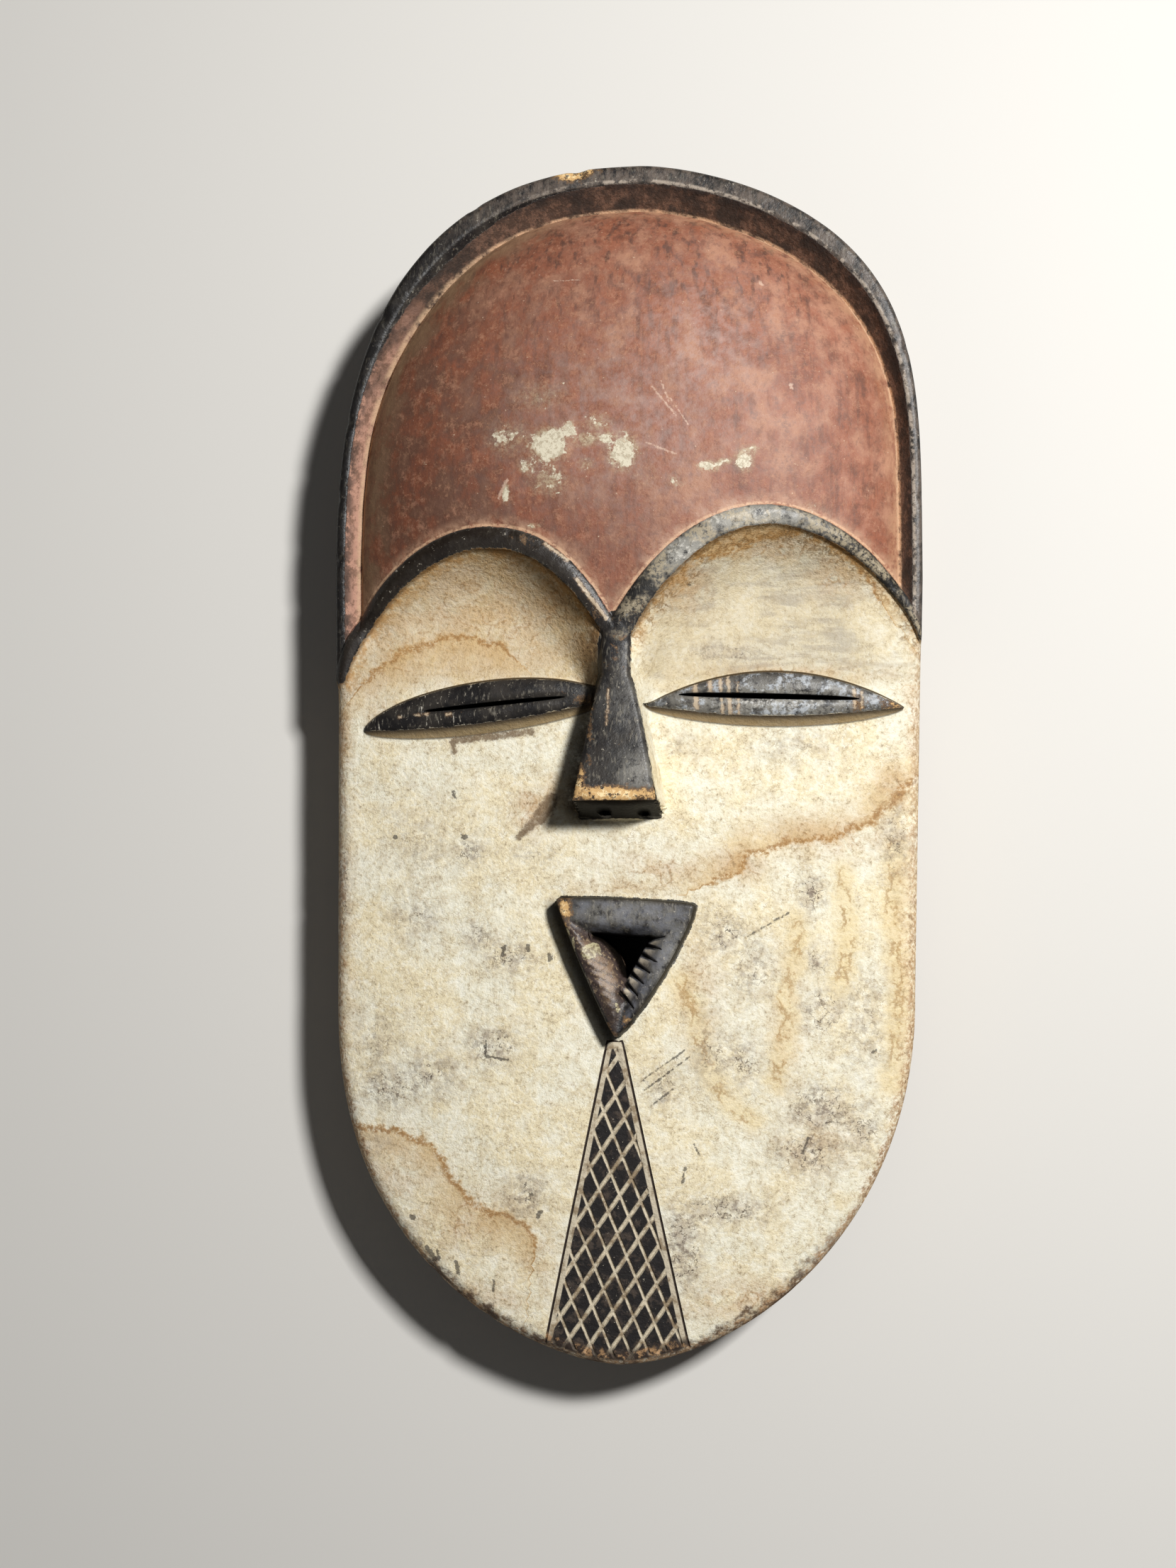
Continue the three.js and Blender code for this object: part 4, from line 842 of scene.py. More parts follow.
for side in (-1, 1):
    add_rows(EYE_LOOPS[side], (-0.9, -0.35, 0, 0.4), 1.0, 0.2, closed=True)
    add_rows(closed_path(SLITS[side]), (0.45, 1.1), 0.9, 0.22)
    add_rows(EYE_LOOPS[side], (1.0, 2.0, 3.2, 4.4), 1.1, 0.45, closed=True)
add_rows(NOSE, (-1.6, -0.9, -0.35, 0, 0.25, 0.6, 1.0, 1.5, 2.1, 3.0), 1.1, 0.14, closed=True)
for offset in (0.5, 1.1, 1.8, 2.6, 3.4, 4.2, 5.0, 5.8):
    under_x = NOSE_X + np.linspace(-UNDER_NOSE_REACH, UNDER_NOSE_REACH, UNDER_NOSE_POINTS)
    keep_row(np.stack([under_x, np.full(UNDER_NOSE_POINTS, NOSE_TIP_Y - offset)], axis=1), 0.25)
for line in NOTCHES:
    add_rows(line, (0, 0.5, -0.5, 0.95, -0.95), 0.7, 0.16)
add_rows(THROAT, (0.5, 1.2, 2.0), 0.8, 0.25, closed=True)
add_rows(rounded(MOUTH_OPENING, (1, 1, 1)), (-0.9, -0.4, 0, 0.5), 0.8, 0.2, closed=True)
add_rows(LEFT_LIP, (-3, -1.5, 0), 1.0, 0.4, closed=True)
add_rows(MOUTH, (-1.6, -0.9, -0.45, -0.15, 0, 0.25, 0.6, 1.0, 1.4, 1.9), 0.9, 0.12, closed=True)
print("rows so far:", len(rows))

# %% Rows for the brow bands
BAND_ROW_STEP = 1.1


def band_rows(brow):
    """Rows on a band and beside both its edges, which keep to its changing width."""
    steps = np.arange(len(brow["path"]))
    line = evenly(brow["path"], BAND_ROW_STEP)
    half = np.interp(np.linspace(0, steps[-1], len(line)), steps, brow["half"])
    aside = beside(line, 1) - line
    for share in (-0.8, -0.45, 0, 0.45, 0.8):
        keep_row(line + aside * (half * share)[:, None], 0.3)
    for offset in (-0.15, 0.15, 0.5, 0.95, 1.6, 2.6):
        for sign in (-1, 1):
            row = line + aside * ((half + offset) * sign)[:, None]
            distance, place, _ = nearest_on(brow["path"], row[:, 0], row[:, 1])
            good = distance > np.interp(place, steps, brow["half"]) + offset - 0.05
            keep_row(row, 0.18, good)


for side in (-1, 1):
    band_rows(BROWS[side])
print("rows so far:", len(rows))

# %% Rows for the chin panel
LINE_NUMBERS = range(-9, 10)
PANEL_ROW_END_Y = -201


def scored_lines():
    """Middle lines of the scored lattice, each from where it enters the panel to where it leaves."""
    lines = []
    for family in (FALLING, RISING):
        for number in LINE_NUMBERS:
            y = np.arange(PANEL_TOP_Y - 4, CHIN_Y, -0.5)
            x = LATTICE_X + number * family["spacing"] + family["slope"] * (LATTICE_Y - y)
            away, reach = spine_frame(x, y, FACE_SPINE_LOW_Y, CROWN_Y)
            good = (panel_in(x, y) > PANEL_BORDER) & (reach - away > PANEL_CHIN_GAP)
            if good.sum() > 8:
                lines.append(np.stack([x[good], y[good]], axis=1)[[0, -1]])
    return lines


LATTICE = scored_lines()
for line in LATTICE:
    add_rows(line, (-GROOVE_WIDTH / 2, -0.3, 0.3, GROOVE_WIDTH / 2), 1.6, 0.1)
for sign in (-1, 1):
    y = np.arange(PANEL_TOP_Y, PANEL_ROW_END_Y, -1.0)
    edge = PANEL_X + sign * (PANEL_TOP_HALF + PANEL_SPREAD * (PANEL_TOP_Y - y))
    line = np.stack([edge, y], axis=1)
    add_rows(line, (-0.45, -0.15, 0.15, 0.45), 1.5, 0.1)
    inner = np.stack([edge - sign * PANEL_BORDER * math.hypot(1, PANEL_SPREAD), y], axis=1)
    add_rows(inner[4:], (-0.25, 0.25), 1.5, 0.1)
print("scored lines:", len(LATTICE), "rows so far:", len(rows))

# %% Rows for the strokes
STROKE_MARGIN, STROKE_GAP = 0.4, 0.14

for x0, y0, x1, y1, half in STROKES + SMEARS + SCRATCHES:
    offsets = (0, -half, half, -half - STROKE_MARGIN, half + STROKE_MARGIN)
    add_rows(((x0, y0), (x1, y1)), offsets, 0.6, STROKE_GAP)
    turn = np.linspace(0, 2 * math.pi, 9)
    for end_x, end_y in ((x0, y0), (x1, y1)):
        for radius in (half, half + STROKE_MARGIN):
            ring = np.stack([end_x + radius * np.cos(turn), end_y + radius * np.sin(turn)], axis=1)
            keep_row(ring, STROKE_GAP)
print("rows so far:", len(rows))

# %% Rows inside the outline
def inward_rows(spine_low, spine_high, depths, keep):
    """Rows at given depths inside the outline, measured toward a straight spine."""
    loop = closed_path(OUTLINE)
    spine_y = np.clip(loop[:, 1], spine_low, spine_high)
    toward = np.stack([-loop[:, 0], spine_y - loop[:, 1]], axis=1)
    toward = toward / np.hypot(toward[:, 0], toward[:, 1])[:, None]
    for depth in depths:
        width = depth(loop) if callable(depth) else np.full(len(loop), depth)
        row = loop + toward * width[:, None]
        keep_row(row, 0.18 if callable(depth) else 0.3, keep(row))


def over_forehead(points):
    return is_inside(FOREHEAD, points[:, 0], points[:, 1])


def crest_depth(offset):
    return lambda loop: rim_widths(loop[:, 0] < 0, loop[:, 1])[0] + offset


def valley_depth(offset):
    return lambda loop: sum(rim_widths(loop[:, 0] < 0, loop[:, 1])) + offset


inward_rows(CHIN_Y, DOME_CENTRE_Y, (
    valley_depth(-0.2), valley_depth(0.15), crest_depth(-0.35), crest_depth(0.3), valley_depth(0.7),
    valley_depth(1.6), valley_depth(3), valley_depth(5), valley_depth(-1.4), 0.35, 0.9, 1.7,
), over_forehead)
inward_rows(FACE_SPINE_LOW_Y, CROWN_Y, (0.3, 0.8, 1.6, 2.6, 3.8, 5.2), lambda row: ~over_forehead(row))
print("rows:", len(rows), "points:", sum(len(row["points"]) for row in rows))

# %% Choose the points
FILL = ((1.15, 2.2), (1.75, FAR_OUT))
ROW_HEIGHT = 0.866
LEFT_X, RIGHT_X = -102, 103
BOARD_SPINE_HIGH_Y = 100
ROW_MARGIN, FILL_MARGIN, FILL_NEAR = 0.2, 0.45, 0.62
HOLES = (THROAT, SLITS[-1], SLITS[1])


def clearance(x, y):
    """Distance to the outline and to the holes, negative outside the wood."""
    away, reach = spine_frame(x, y, FACE_SPINE_LOW_Y, BOARD_SPINE_HIGH_Y)
    clear = reach - away
    for loop in HOLES:
        clear = np.minimum(clear, loop_distance(loop, x, y))
    return clear


def tree_of(points):
    tree = kdtree.KDTree(len(points))
    for at, (x, y) in enumerate(points):
        tree.insert((x, y, 0), at)
    tree.balance()
    return tree


def add_loop(points, edges, loop):
    """Adds a closed loop's points, and the edges that join each to the next."""
    first = len(points)
    points.extend(map(tuple, loop))
    edges.extend((first + at, first + (at + 1) % len(loop)) for at in range(len(loop)))


def chosen_points():
    """Loop points first, then the rows in order, then the fill, each only where there is room."""
    points = []
    edges = []
    for loop in (OUTLINE, *HOLES):
        add_loop(points, edges, loop)
    tree = tree_of(points)
    for row in rows:
        x, y = row["points"][:, 0], row["points"][:, 1]
        good = row["good"] & (clearance(x, y) > ROW_MARGIN)
        before = None
        fresh = len(points)
        for at in range(len(x)):
            kept = None
            if good[at]:
                _, _, distance = tree.find((x[at], y[at], 0))
                if distance >= row["gap"]:
                    kept = len(points)
                    points.append((x[at], y[at]))
            if kept is not None and before is not None:
                edges.append((before, kept))
            before = kept
        if len(points) > fresh:
            tree = tree_of(points)
    for spacing, limit in FILL:
        grid = []
        for number, y in enumerate(np.arange(CHIN_Y, CROWN_Y, spacing * ROW_HEIGHT)):
            x = np.arange(LEFT_X, RIGHT_X, spacing) + (number % 2) * spacing / 2
            grid.append(np.stack([x, np.full(len(x), y)], axis=1))
        grid = np.vstack(grid)
        grid = grid[clearance(grid[:, 0], grid[:, 1]) > spacing * FILL_MARGIN]
        fresh = []
        for x, y in grid:
            _, _, distance = tree.find((x, y, 0))
            if spacing * FILL_NEAR < distance < limit:
                fresh.append((x, y))
        points.extend(fresh)
        tree = tree_of(points)
    return points, edges


FRONT_POINTS, FRONT_EDGES = chosen_points()
print("front points:", len(FRONT_POINTS), "edges:", len(FRONT_EDGES))

# %% Triangulate the front
THIN_AREA, SAME_PLACE, MERGE_NEAR = 1e-3, 0.03, 1e-5


def triangulate(points, edges):
    """The triangles inside the outline and outside the holes, with points at one place made one."""
    result = delaunay_2d_cdt([Vector(point) for point in points], edges, [], 0, MERGE_NEAR)
    flat = np.array([(point.x, point.y) for point in result[0]])
    faces = np.array(result[2])
    middle = flat[faces].mean(axis=1)
    keep = is_inside(np.array(points[:len(OUTLINE)]), middle[:, 0], middle[:, 1])
    for loop in HOLES:
        keep &= ~is_inside(loop, middle[:, 0], middle[:, 1])
    (ax, ay), (bx, by), (cx, cy) = flat[faces].transpose(1, 2, 0)
    thin = np.abs((bx - ax) * (cy - ay) - (cx - ax) * (by - ay)) < THIN_AREA
    loop_points = len(OUTLINE) + sum(map(len, HOLES))
    keep &= ~(thin & (faces < loop_points).all(axis=1))
    tree = tree_of(flat)
    first = [min(near for _, near, _ in tree.find_range((x, y, 0), SAME_PLACE)) for x, y in flat]
    faces = np.array(first)[faces[keep]]
    whole = (faces[:, 0] != faces[:, 1]) & (faces[:, 1] != faces[:, 2]) & (faces[:, 2] != faces[:, 0])
    used, faces = np.unique(faces[whole], return_inverse=True)
    return flat[used], faces.reshape(-1, 3)


front_xy, front_faces = triangulate(FRONT_POINTS, FRONT_EDGES)
front_z, marks = front(front_xy[:, 0], front_xy[:, 1])
front_z = front_z + hand_work(front_xy[:, 0], front_xy[:, 1], marks)
print("front:", len(front_xy), "points", len(front_faces), "triangles")

# %% [markdown]
# ## The back and the sides
# Behind the face the wood is hollowed with a gouge, and a flat rim is left all round to lie or hang
# against the wall. The back gets its own looser net. Its outer loop has as many points as the front's,
# so the side wall is plain rows of four-sided faces between the two.

# %% Back
RIM_INSET, RIM_WIDTH_IN, SHOULDER_INSET = 2.5, 9.6, 27
HOLLOW_TOP_Z, HOLLOW_DOME, HOLLOW_SIDE_FALL, HOLLOW_BLUNT = 31.5, 18, 4, 2.4
HOLLOW_DOME_X, HOLLOW_DOME_Y, HOLLOW_DOME_WIDE, HOLLOW_DOME_TALL = 0, 108, 74, 84
BACK_SPACING, BACK_MARGIN, BACK_NEAR = 2.9, 1, 0.6
JOINED_DEPTHS = (4.8, 7.2, RIM_WIDTH_IN, 9.8, 10.2, 11, 12.2)
LOOSE_DEPTHS = (14.2, 17, 21, 26)


def hollow_z(x, y, inset):
    across, along = (x - HOLLOW_DOME_X) / HOLLOW_DOME_WIDE, (y - HOLLOW_DOME_Y) / HOLLOW_DOME_TALL
    top = HOLLOW_TOP_Z + HOLLOW_DOME * smooth(np.maximum(0, 1 - across ** 2 - along ** 2))
    top = top - HOLLOW_SIDE_FALL * (x / 100) ** 2
    share = np.clip((inset - RIM_WIDTH_IN) / (SHOULDER_INSET - RIM_WIDTH_IN), 0, 1)
    return top * np.sqrt(np.maximum(0, 1 - (1 - share) ** HOLLOW_BLUNT))


def moved_inward(depth):
    """The outline moved inward, square to itself."""
    along = np.roll(OUTLINE, -1, axis=0) - np.roll(OUTLINE, 1, axis=0)
    along = along / np.hypot(along[:, 0], along[:, 1])[:, None]
    return OUTLINE + np.stack([-along[:, 1], along[:, 0]], axis=1) * depth


def back_points():
    points = []
    edges = []
    for loop in (moved_inward(RIM_INSET), *HOLES):
        add_loop(points, edges, loop)
    for depth in JOINED_DEPTHS:
        add_loop(points, edges, moved_inward(depth)[::2])
    for depth in LOOSE_DEPTHS:
        loop = moved_inward(depth)[::2]
        points.extend(map(tuple, loop[clearance(loop[:, 0], loop[:, 1]) > BACK_MARGIN]))
    tree = tree_of(points)
    for number, y in enumerate(np.arange(CHIN_Y, CROWN_Y, BACK_SPACING * ROW_HEIGHT)):
        x = np.arange(LEFT_X, RIGHT_X, BACK_SPACING) + (number % 2) * BACK_SPACING / 2
        good = clearance(x, np.full(len(x), y)) > BACK_MARGIN
        for at in np.flatnonzero(good):
            _, _, distance = tree.find((x[at], y, 0))
            if distance > BACK_SPACING * BACK_NEAR:
                points.append((x[at], y))
    return points, edges


back_xy, back_faces = triangulate(*back_points())
back_inset, _, _ = nearest_on(closed_path(OUTLINE), back_xy[:, 0], back_xy[:, 1])
back_z = hollow_z(back_xy[:, 0], back_xy[:, 1], back_inset)
print("back:", len(back_xy), "points", len(back_faces), "triangles")

# %% Join front, sides and back
UPPER_SHARES = (0.06, 0.2, 0.45, 0.72)
WALL_ROWS = ((28, 0), (24, 0.08), (20, 0.2), (16.5, 0.45), (13, 0.72), (9, 1.1), (6, 1.55), (3, 2.05))
WALL_INSET, WALL_LUMPS, WALL_LUMP_SIZE, WALL_SEED = 0.22, 0.22, 9, 11
WALL_NOISE_X_PER_Z, WALL_NOISE_Y = 3, 40
HOLE_MIDDLE, BACK_DOWN = 0.85, 60.0


def strip(upper, lower):
    """Triangles between two loops with the same number of points, facing right of their direction."""
    upper_next, lower_next = np.roll(upper, -1), np.roll(lower, -1)
    return np.vstack([
        np.stack([upper, lower, upper_next], axis=1),
        np.stack([upper_next, lower, lower_next], axis=1),
    ])


def joined():
    """Vertices, faces, and for each vertex the front vertex whose marks it carries and its depth."""
    count = len(OUTLINE)
    edge_z = front_z[:count]
    places = [np.column_stack([front_xy, front_z])]
    origins = [np.arange(len(front_xy))]
    downs = [np.zeros(len(front_xy))]
    faces = [front_faces]
    last = np.arange(count)
    total = len(front_xy)
    upper_rows = [(mix(edge_z, WALL_ROWS[0][0], share), 0) for share in UPPER_SHARES]
    for z, inset in upper_rows + [(np.full(count, float(z)), inset) for z, inset in WALL_ROWS]:
        ring = moved_inward(inset)
        noise_x, noise_y = ring[:, 0] + WALL_NOISE_X_PER_Z * z, ring[:, 1] + WALL_NOISE_Y
        lumps = WALL_LUMPS * unevenness(noise_x, noise_y, WALL_LUMP_SIZE, WALL_SEED)
        ring = ring + (moved_inward(inset + 1) - ring) * (WALL_INSET + lumps)[:, None]
        places.append(np.column_stack([ring, z]))
        origins.append(np.arange(count))
        downs.append(edge_z - z)
        current = np.arange(total, total + count)
        faces.append(strip(last, current))
        last = current
        total += count
    places.append(np.column_stack([back_xy, back_z]))
    origins.append(np.full(len(back_xy), -1))
    downs.append(np.full(len(back_xy), BACK_DOWN))
    faces.append(strip(last, np.arange(total, total + count)))
    faces.append(back_faces[:, ::-1] + total)
    first = count
    extra = total + len(back_xy)
    for loop in HOLES:
        upper = np.arange(first, first + len(loop))
        middle = np.arange(extra, extra + len(loop))
        middle_z = mix(front_z[upper], back_z[upper], HOLE_MIDDLE)
        places.append(np.column_stack([loop, middle_z]))
        origins.append(upper)
        downs.append(np.zeros(len(loop)))
        faces.append(strip(upper, middle)[:, ::-1])
        faces.append(strip(middle, upper + total)[:, ::-1])
        first += len(loop)
        extra += len(loop)
    return np.vstack(places), np.vstack(faces), np.concatenate(origins), np.concatenate(downs)


places, faces, origins, downs = joined()
print("vertices:", len(places), "triangles:", len(faces))

# %% [markdown]
# ## Marks for the paint
# Each vertex carries a few numbers: how far it lies from the edge of the black paint, from the valley,
# from the chin panel and so on. The material reads them, so each painted edge stays with its carving.
# Larger stains lie along drawn lines and in soft patches, which the tables give in millimetres.

# %% Paint marks
TIDES = (
    ((-37.1, 34.4), (-41.2, 38.8), (-52.1, 42.8), (-63, 42.9), (-73.9, 39.3), (-80.2, 35), (-87.6, 31.8),
     (-93.5, 23.8)),
    ((-30, -168), (-29, -161), (-33, -157), (-42.9, -154.4), (-53.3, -148.4), (-58.6, -141.3),
     (-62.8, -134.2), (-70, -129), (-77.6, -126.6), (-86, -125.6), (-97, -124)),
    ((28.1, -43.9), (32.8, -41.9), (39.6, -39.5), (44, -33), (49.3, -33.8), (57.2, -29.5), (70.3, -29),
     (80.8, -24.3), (91.3, -16.5), (100.5, -6)),
    ((19.5, 64), (28, 65), (37.2, 67), (48.2, 72.4), (63.7, 73), (79, 64.6), (87.9, 52)),
)
TIDE_END_FADE, TIDE_END_RUN = 2.5, 0.6
DRIPS = (
    ((20, -75.9), (24.8, -87.5), (27, -98), (30.5, -109.6), (37.2, -118.2), (44, -122)),
    ((58.8, -56.5), (58.4, -68), (54, -81.6), (56, -88), (53.7, -95.1), (51.7, -109.5)),
    ((92, -30), (90.5, -55), (92.5, -80), (90, -110)), ((74, -40), (76, -62), (73, -78)),
)
SOIL = (
    (-45, 52, 40, 26, 0.5), (-22, 52, 8, 12, 0.9), (-10, 38, 6, 16, 1.0), (-78, 42, 12, 16, 0.6),
    (48, 71, 32, 6, 0.6), (20, 58, 9, 9, 0.8), (74, 62, 10, 8, 0.6), (60, 28, 30, 3, 0.5),
    (-30, -18, 7, 7, 0.9), (-22, -12, 6, 6, 0.6), (-85, 22, 10, 14, 0.35), (70, -27, 22, 7, 0.55),
    (40, -37, 9, 6, 0.7), (92, -12, 8, 10, 0.6), (26, -80, 7, 18, 0.5), (55, -88, 6, 24, 0.35),
    (-80, -140, 18, 12, 0.45), (-52, -158, 20, 10, 0.5), (-30, -168, 8, 14, 0.4),
    (66, -130, 14, 10, 0.35), (14, -39, 18, 7, 0.5), (0, -44, 22, 3, 0.4), (95, -60, 5, 60, 0.35),
    (-96, -60, 4, 60, 0.3), (50, -182, 30, 7, 0.6), (-60, -184, 30, 7, 0.55),
    (-98, 10, 4, 22, 0.6), (98, 12, 4, 20, 0.4),
)
GREY = (
    (63.7, -46.9, 4.5, 6.5, 1.1), (65.9, -69.1, 5, 4, 0.9), (66, -118, 11, 8, 1.0),
    (67.2, -85.4, 7, 8, 0.9), (-51.6, -58, 3.5, 2.5, 0.9), (-48.6, -61.9, 5, 4, 0.9),
    (-80, -112, 14, 8, 0.7), (-66, -108, 12, 8, 0.7), (20, -165, 7, 14, 1.0), (30, -100, 7, 12, 0.6),
    (44, -72, 8, 12, 0.6), (34, -60, 8, 8, 0.8), (40, -103, 8, 10, 0.6), (36, 35, 16, 4, 0.6),
    (-72, -55, 10, 8, 0.5), (-38, -68, 10, 6, 0.7), (-44, -98, 10, 7, 0.8), (62, -133, 12, 8, 0.8),
    (33, -152, 16, 5, 0.9), (-70.4, -52.6, 3.4, 2, 0.85), (-66, -56.2, 3.4, 2, 0.9),
    (-85, -96, 8, 14, 0.5), (79, -125, 8, 10, 0.7), (80, -90, 10, 20, 0.5), (-70, -30, 14, 14, 0.4),
    (-52, -32, 6, 5, 0.8), (-30, -34, 8, 4, 0.5), (92, -30, 5, 14, 0.7), (-98, -45, 3, 18, 0.9),
    (-33, -148, 7, 8, 0.8), (-84, -132, 6, 5, 0.5), (14, -112, 7, 8, 0.6), (18, 3, 10, 5, 0.4),
    (60, 3, 16, 6, 0.4),
)
WEAR = (
    (-16, 68, 5, 2.5, 0.4), (-30, 71, 6, 3, 0.4), (8, 45, 4, 10, 0.3), (-8, 45, 3, 8, 0.4),
    (-0.6, 34, 4, 12, 0.32), (-0.6, -14.4, 17, 2.8, 1.25), (-12.4, -10, 2.2, 7, 1.05),
    (12.8, -9, 1.2, 5, 0.7), (-8.8, 5, 1.4, 14, 0.42), (-18.4, -51.6, 3, 4.4, 1.0),
    (-17.6, -57.5, 1.5, 4, 0.8), (-3, -92, 3, 3, 0.6), (2.4, -89, 2, 3, 0.6), (-17, 203.6, 8, 3.4, 1.4),
    (-72, 184, 5, 3, 0.7), (-55, 192, 6, 2, 0.6), (80, 16.5, 3, 4, 0.6), (91, 17, 5, 3, 0.7),
    (0, -203, 24, 3, 1.0), (-12, 19, 6, 3, 0.6), (-9, 60, 5, 5, 0.3),
)
# Pale patches: a dusting and a painted sheen on the black of the right brow, the right eye, the nose and the
# mouth, and a painted highlight in the middle of the forehead.
DUST_AND_SHEEN = (
    (24, 66, 14, 8, 1.0), (42, 78, 20, 6, 1.15), (60, 77, 12, 5, 0.7), (52, 18, 40, 7, 0.85),
    (7, -7, 6, 7, 0.6), (2, 16, 3, 10, 0.2), (2, -53, 20, 4, 0.55), (16, -66, 8, 14, 0.5),
    (6, 112, 46, 34, 0.75), (28, 138, 24, 28, 0.95),
)
FLAKES = (
    (-22.9, 103, 6.6, 6.2, 1.0), (-16.3, 108.2, 4, 3, 0.9), (-10, 104.5, 6, 2.6, 0.7),
    (2.2, 100.2, 5.4, 6.4, 1.0), (-3, 105, 4, 2.4, 0.75), (31, 95, 4.4, 1.9, 0.95),
    (42.4, 97.2, 3.2, 4, 1.0), (45.3, 101, 2.6, 1.6, 0.85), (36, 96.6, 3, 1, 0.8),
    (-37.5, 87.3, 1.2, 3.6, 0.95), (-22.9, 91, 8, 6, 0.55), (-30, 96, 4, 3, 0.55),
    (-10, 96, 4, 3, 0.5), (-28, 76.2, 3, 0.8, 0.8), (-6, 110, 6, 4, 0.5), (-36, 106, 12, 8, 0.42),
    (10, 92, 8, 8, 0.3), (20, 90, 5, 4, 0.4), (-9.6, -65.6, 3.6, 3.4, 0.95),
    (-15.3, -64, 0.8, 3.4, 1.1), (-17.4, -60, 0.8, 2, 1.0), (-0.6, -84, 0.7, 2.6, 1.0),
    (-4, -78, 2, 3, 0.5), (-26, 120, 14, 8, 0.36), (64, 82, 10, 4, 0.3),
)
print("patches:", [len(table) for table in (SOIL, GREY, WEAR, DUST_AND_SHEEN, FLAKES)])

# %% Distances for the paint
MARK_FAR, NOT_ABOVE = 1e3, 50
NOSE_SIDE_PAINT, UNDER_NOSE_PAINT = 0.6, 5.2
RIM_OVER, RIM_OVER_X, RIM_OVER_Y, RIM_OVER_WIDE, RIM_OVER_TALL = 2.2, -60, 176, 34, 30


def blobs(table, x, y):
    """The strongest of the soft patches at each point; a row is x, y, two radii and an amount."""
    total = np.zeros(x.shape)
    for blob_x, blob_y, wide, tall, amount in table:
        near = np.exp(-((x - blob_x) / wide) ** 2 - ((y - blob_y) / tall) ** 2)
        total = np.maximum(total, amount * near)
    return total


def tide_distance(x, y):
    """Signed distance to the nearest edge that water left in the clay, which fades at its ends."""
    best = np.full(x.shape, MARK_FAR)
    for tide in TIDES:
        distance, place, side = nearest_on(tide, x, y)
        ends = np.minimum(place, len(tide) - 1 - place)
        distance = distance + TIDE_END_FADE * np.clip(1 - ends / TIDE_END_RUN, 0, 1)
        best = np.where(distance < np.abs(best), distance * side, best)
    return best


def drip_distance(x, y):
    """Distance to the nearest run of brown water."""
    return np.min([nearest_on(drip, x, y)[0] for drip in DRIPS], axis=0)


def black_distance(x, y, d):
    """Signed distance to the edge of the black on the bands, eyes, mouth, nose and rim."""
    # On the left of the nose the black runs on 1.6 mm over its side wall, and under the tip over the
    # underside: painted shade on the faces turned from the light.
    nose = np.where(x < NOSE_X, d["nose"] - 1.6, d["nose"] - 0.15)
    beside_nose = np.abs(x - NOSE_X) - NOSE_TIP_HALF - NOSE_SIDE_PAINT
    below = np.maximum(beside_nose, NOSE_TIP_Y - UNDER_NOSE_PAINT - y)
    nose = np.where(y < NOSE_TIP_Y, below, nose)
    black = np.minimum(np.minimum(d["band"], d["eye"]), np.minimum(d["mouth"] - 0.8, nose))
    across, along = (x - RIM_OVER_X) / RIM_OVER_WIDE, (y - RIM_OVER_Y) / RIM_OVER_TALL
    over = RIM_OVER * np.exp(-across ** 2 - along ** 2)
    return np.minimum(black, np.where(d["above"], d["crest"] - over, NOT_ABOVE))


def paint_marks(x, y, d):
    """Distances to the painted edges in millimetres, negative inside, and amounts of dirt from 0 to 1."""
    kept = ("valley", "band", "eye", "sill", "slit", "nose", "mouth", "notch", "panel", "inset")
    strokes = {"stroke": STROKES, "smear": SMEARS, "scratch": SCRATCHES}
    patches = {"soil": SOIL, "grey": GREY, "wear": WEAR, "dust_and_sheen": DUST_AND_SHEEN, "flake": FLAKES}
    return {
        "black": black_distance(x, y, d),
        "above": d["above"] * 1.0,
        "crest": np.where(d["above"], d["crest"], NOT_ABOVE),
        "lip": loop_distance(LEFT_LIP, x, y),
        "teeth": loop_distance(TEETH_AREA, x, y),
        "tide": tide_distance(x, y),
        "drip": drip_distance(x, y),
        **{name: d[name] for name in kept},
        **{name: stroke_distance(table, x, y) for name, table in strokes.items()},
        **{name: blobs(table, x, y) for name, table in patches.items()},
    }


paint = paint_marks(front_xy[:, 0], front_xy[:, 1], marks)
paint = {name: np.append(values, NOT_ABOVE)[origins] for name, values in paint.items()}
paint["down"] = downs
paint["back"] = (origins < 0) * 1.0
for name in ("soil", "grey", "wear", "dust_and_sheen", "flake", "above", "sill", "notch"):
    paint[name] = np.where(origins < 0, 0, paint[name])
print("marks:", ", ".join(paint))

# %% Make the mesh
def make_mask():
    mesh = bpy.data.meshes.new("carved_mask")
    metres = (places + np.array([SHIFT_X, SHIFT_Y, 0])) * MM
    mesh.vertices.add(len(metres))
    mesh.vertices.foreach_set("co", metres.ravel())
    mesh.loops.add(3 * len(faces))
    mesh.loops.foreach_set("vertex_index", faces.ravel().astype(np.int32))
    mesh.polygons.add(len(faces))
    mesh.polygons.foreach_set("loop_start", np.arange(0, 3 * len(faces), 3, dtype=np.int32))
    mesh.polygons.foreach_set("loop_total", np.full(len(faces), 3, dtype=np.int32))
    mesh.update(calc_edges=True)
    mesh.validate()
    normals = np.empty(3 * len(metres), np.float32)
    mesh.vertex_normals.foreach_get("vector", normals)
    paint["steep"] = 1 - np.abs(normals[2::3])
    for name, values in paint.items():
        mesh.attributes.new(name, "FLOAT", "POINT").data.foreach_set("value", values.astype(np.float32))
    mask = bpy.data.objects.new("carved_mask", mesh)
    bpy.context.scene.collection.objects.link(mask)
    return mask


mask = make_mask()
print("mask:", len(mask.data.vertices), "vertices", len(mask.data.polygons), "triangles")

# %% [markdown]
# ## Marks that repeat
# Two marks are cut over and over: the crossing lines on the chin panel and the gouge facets in the
# hollow. A node tree cuts both, so their spacing and depth are named inputs that can be changed.

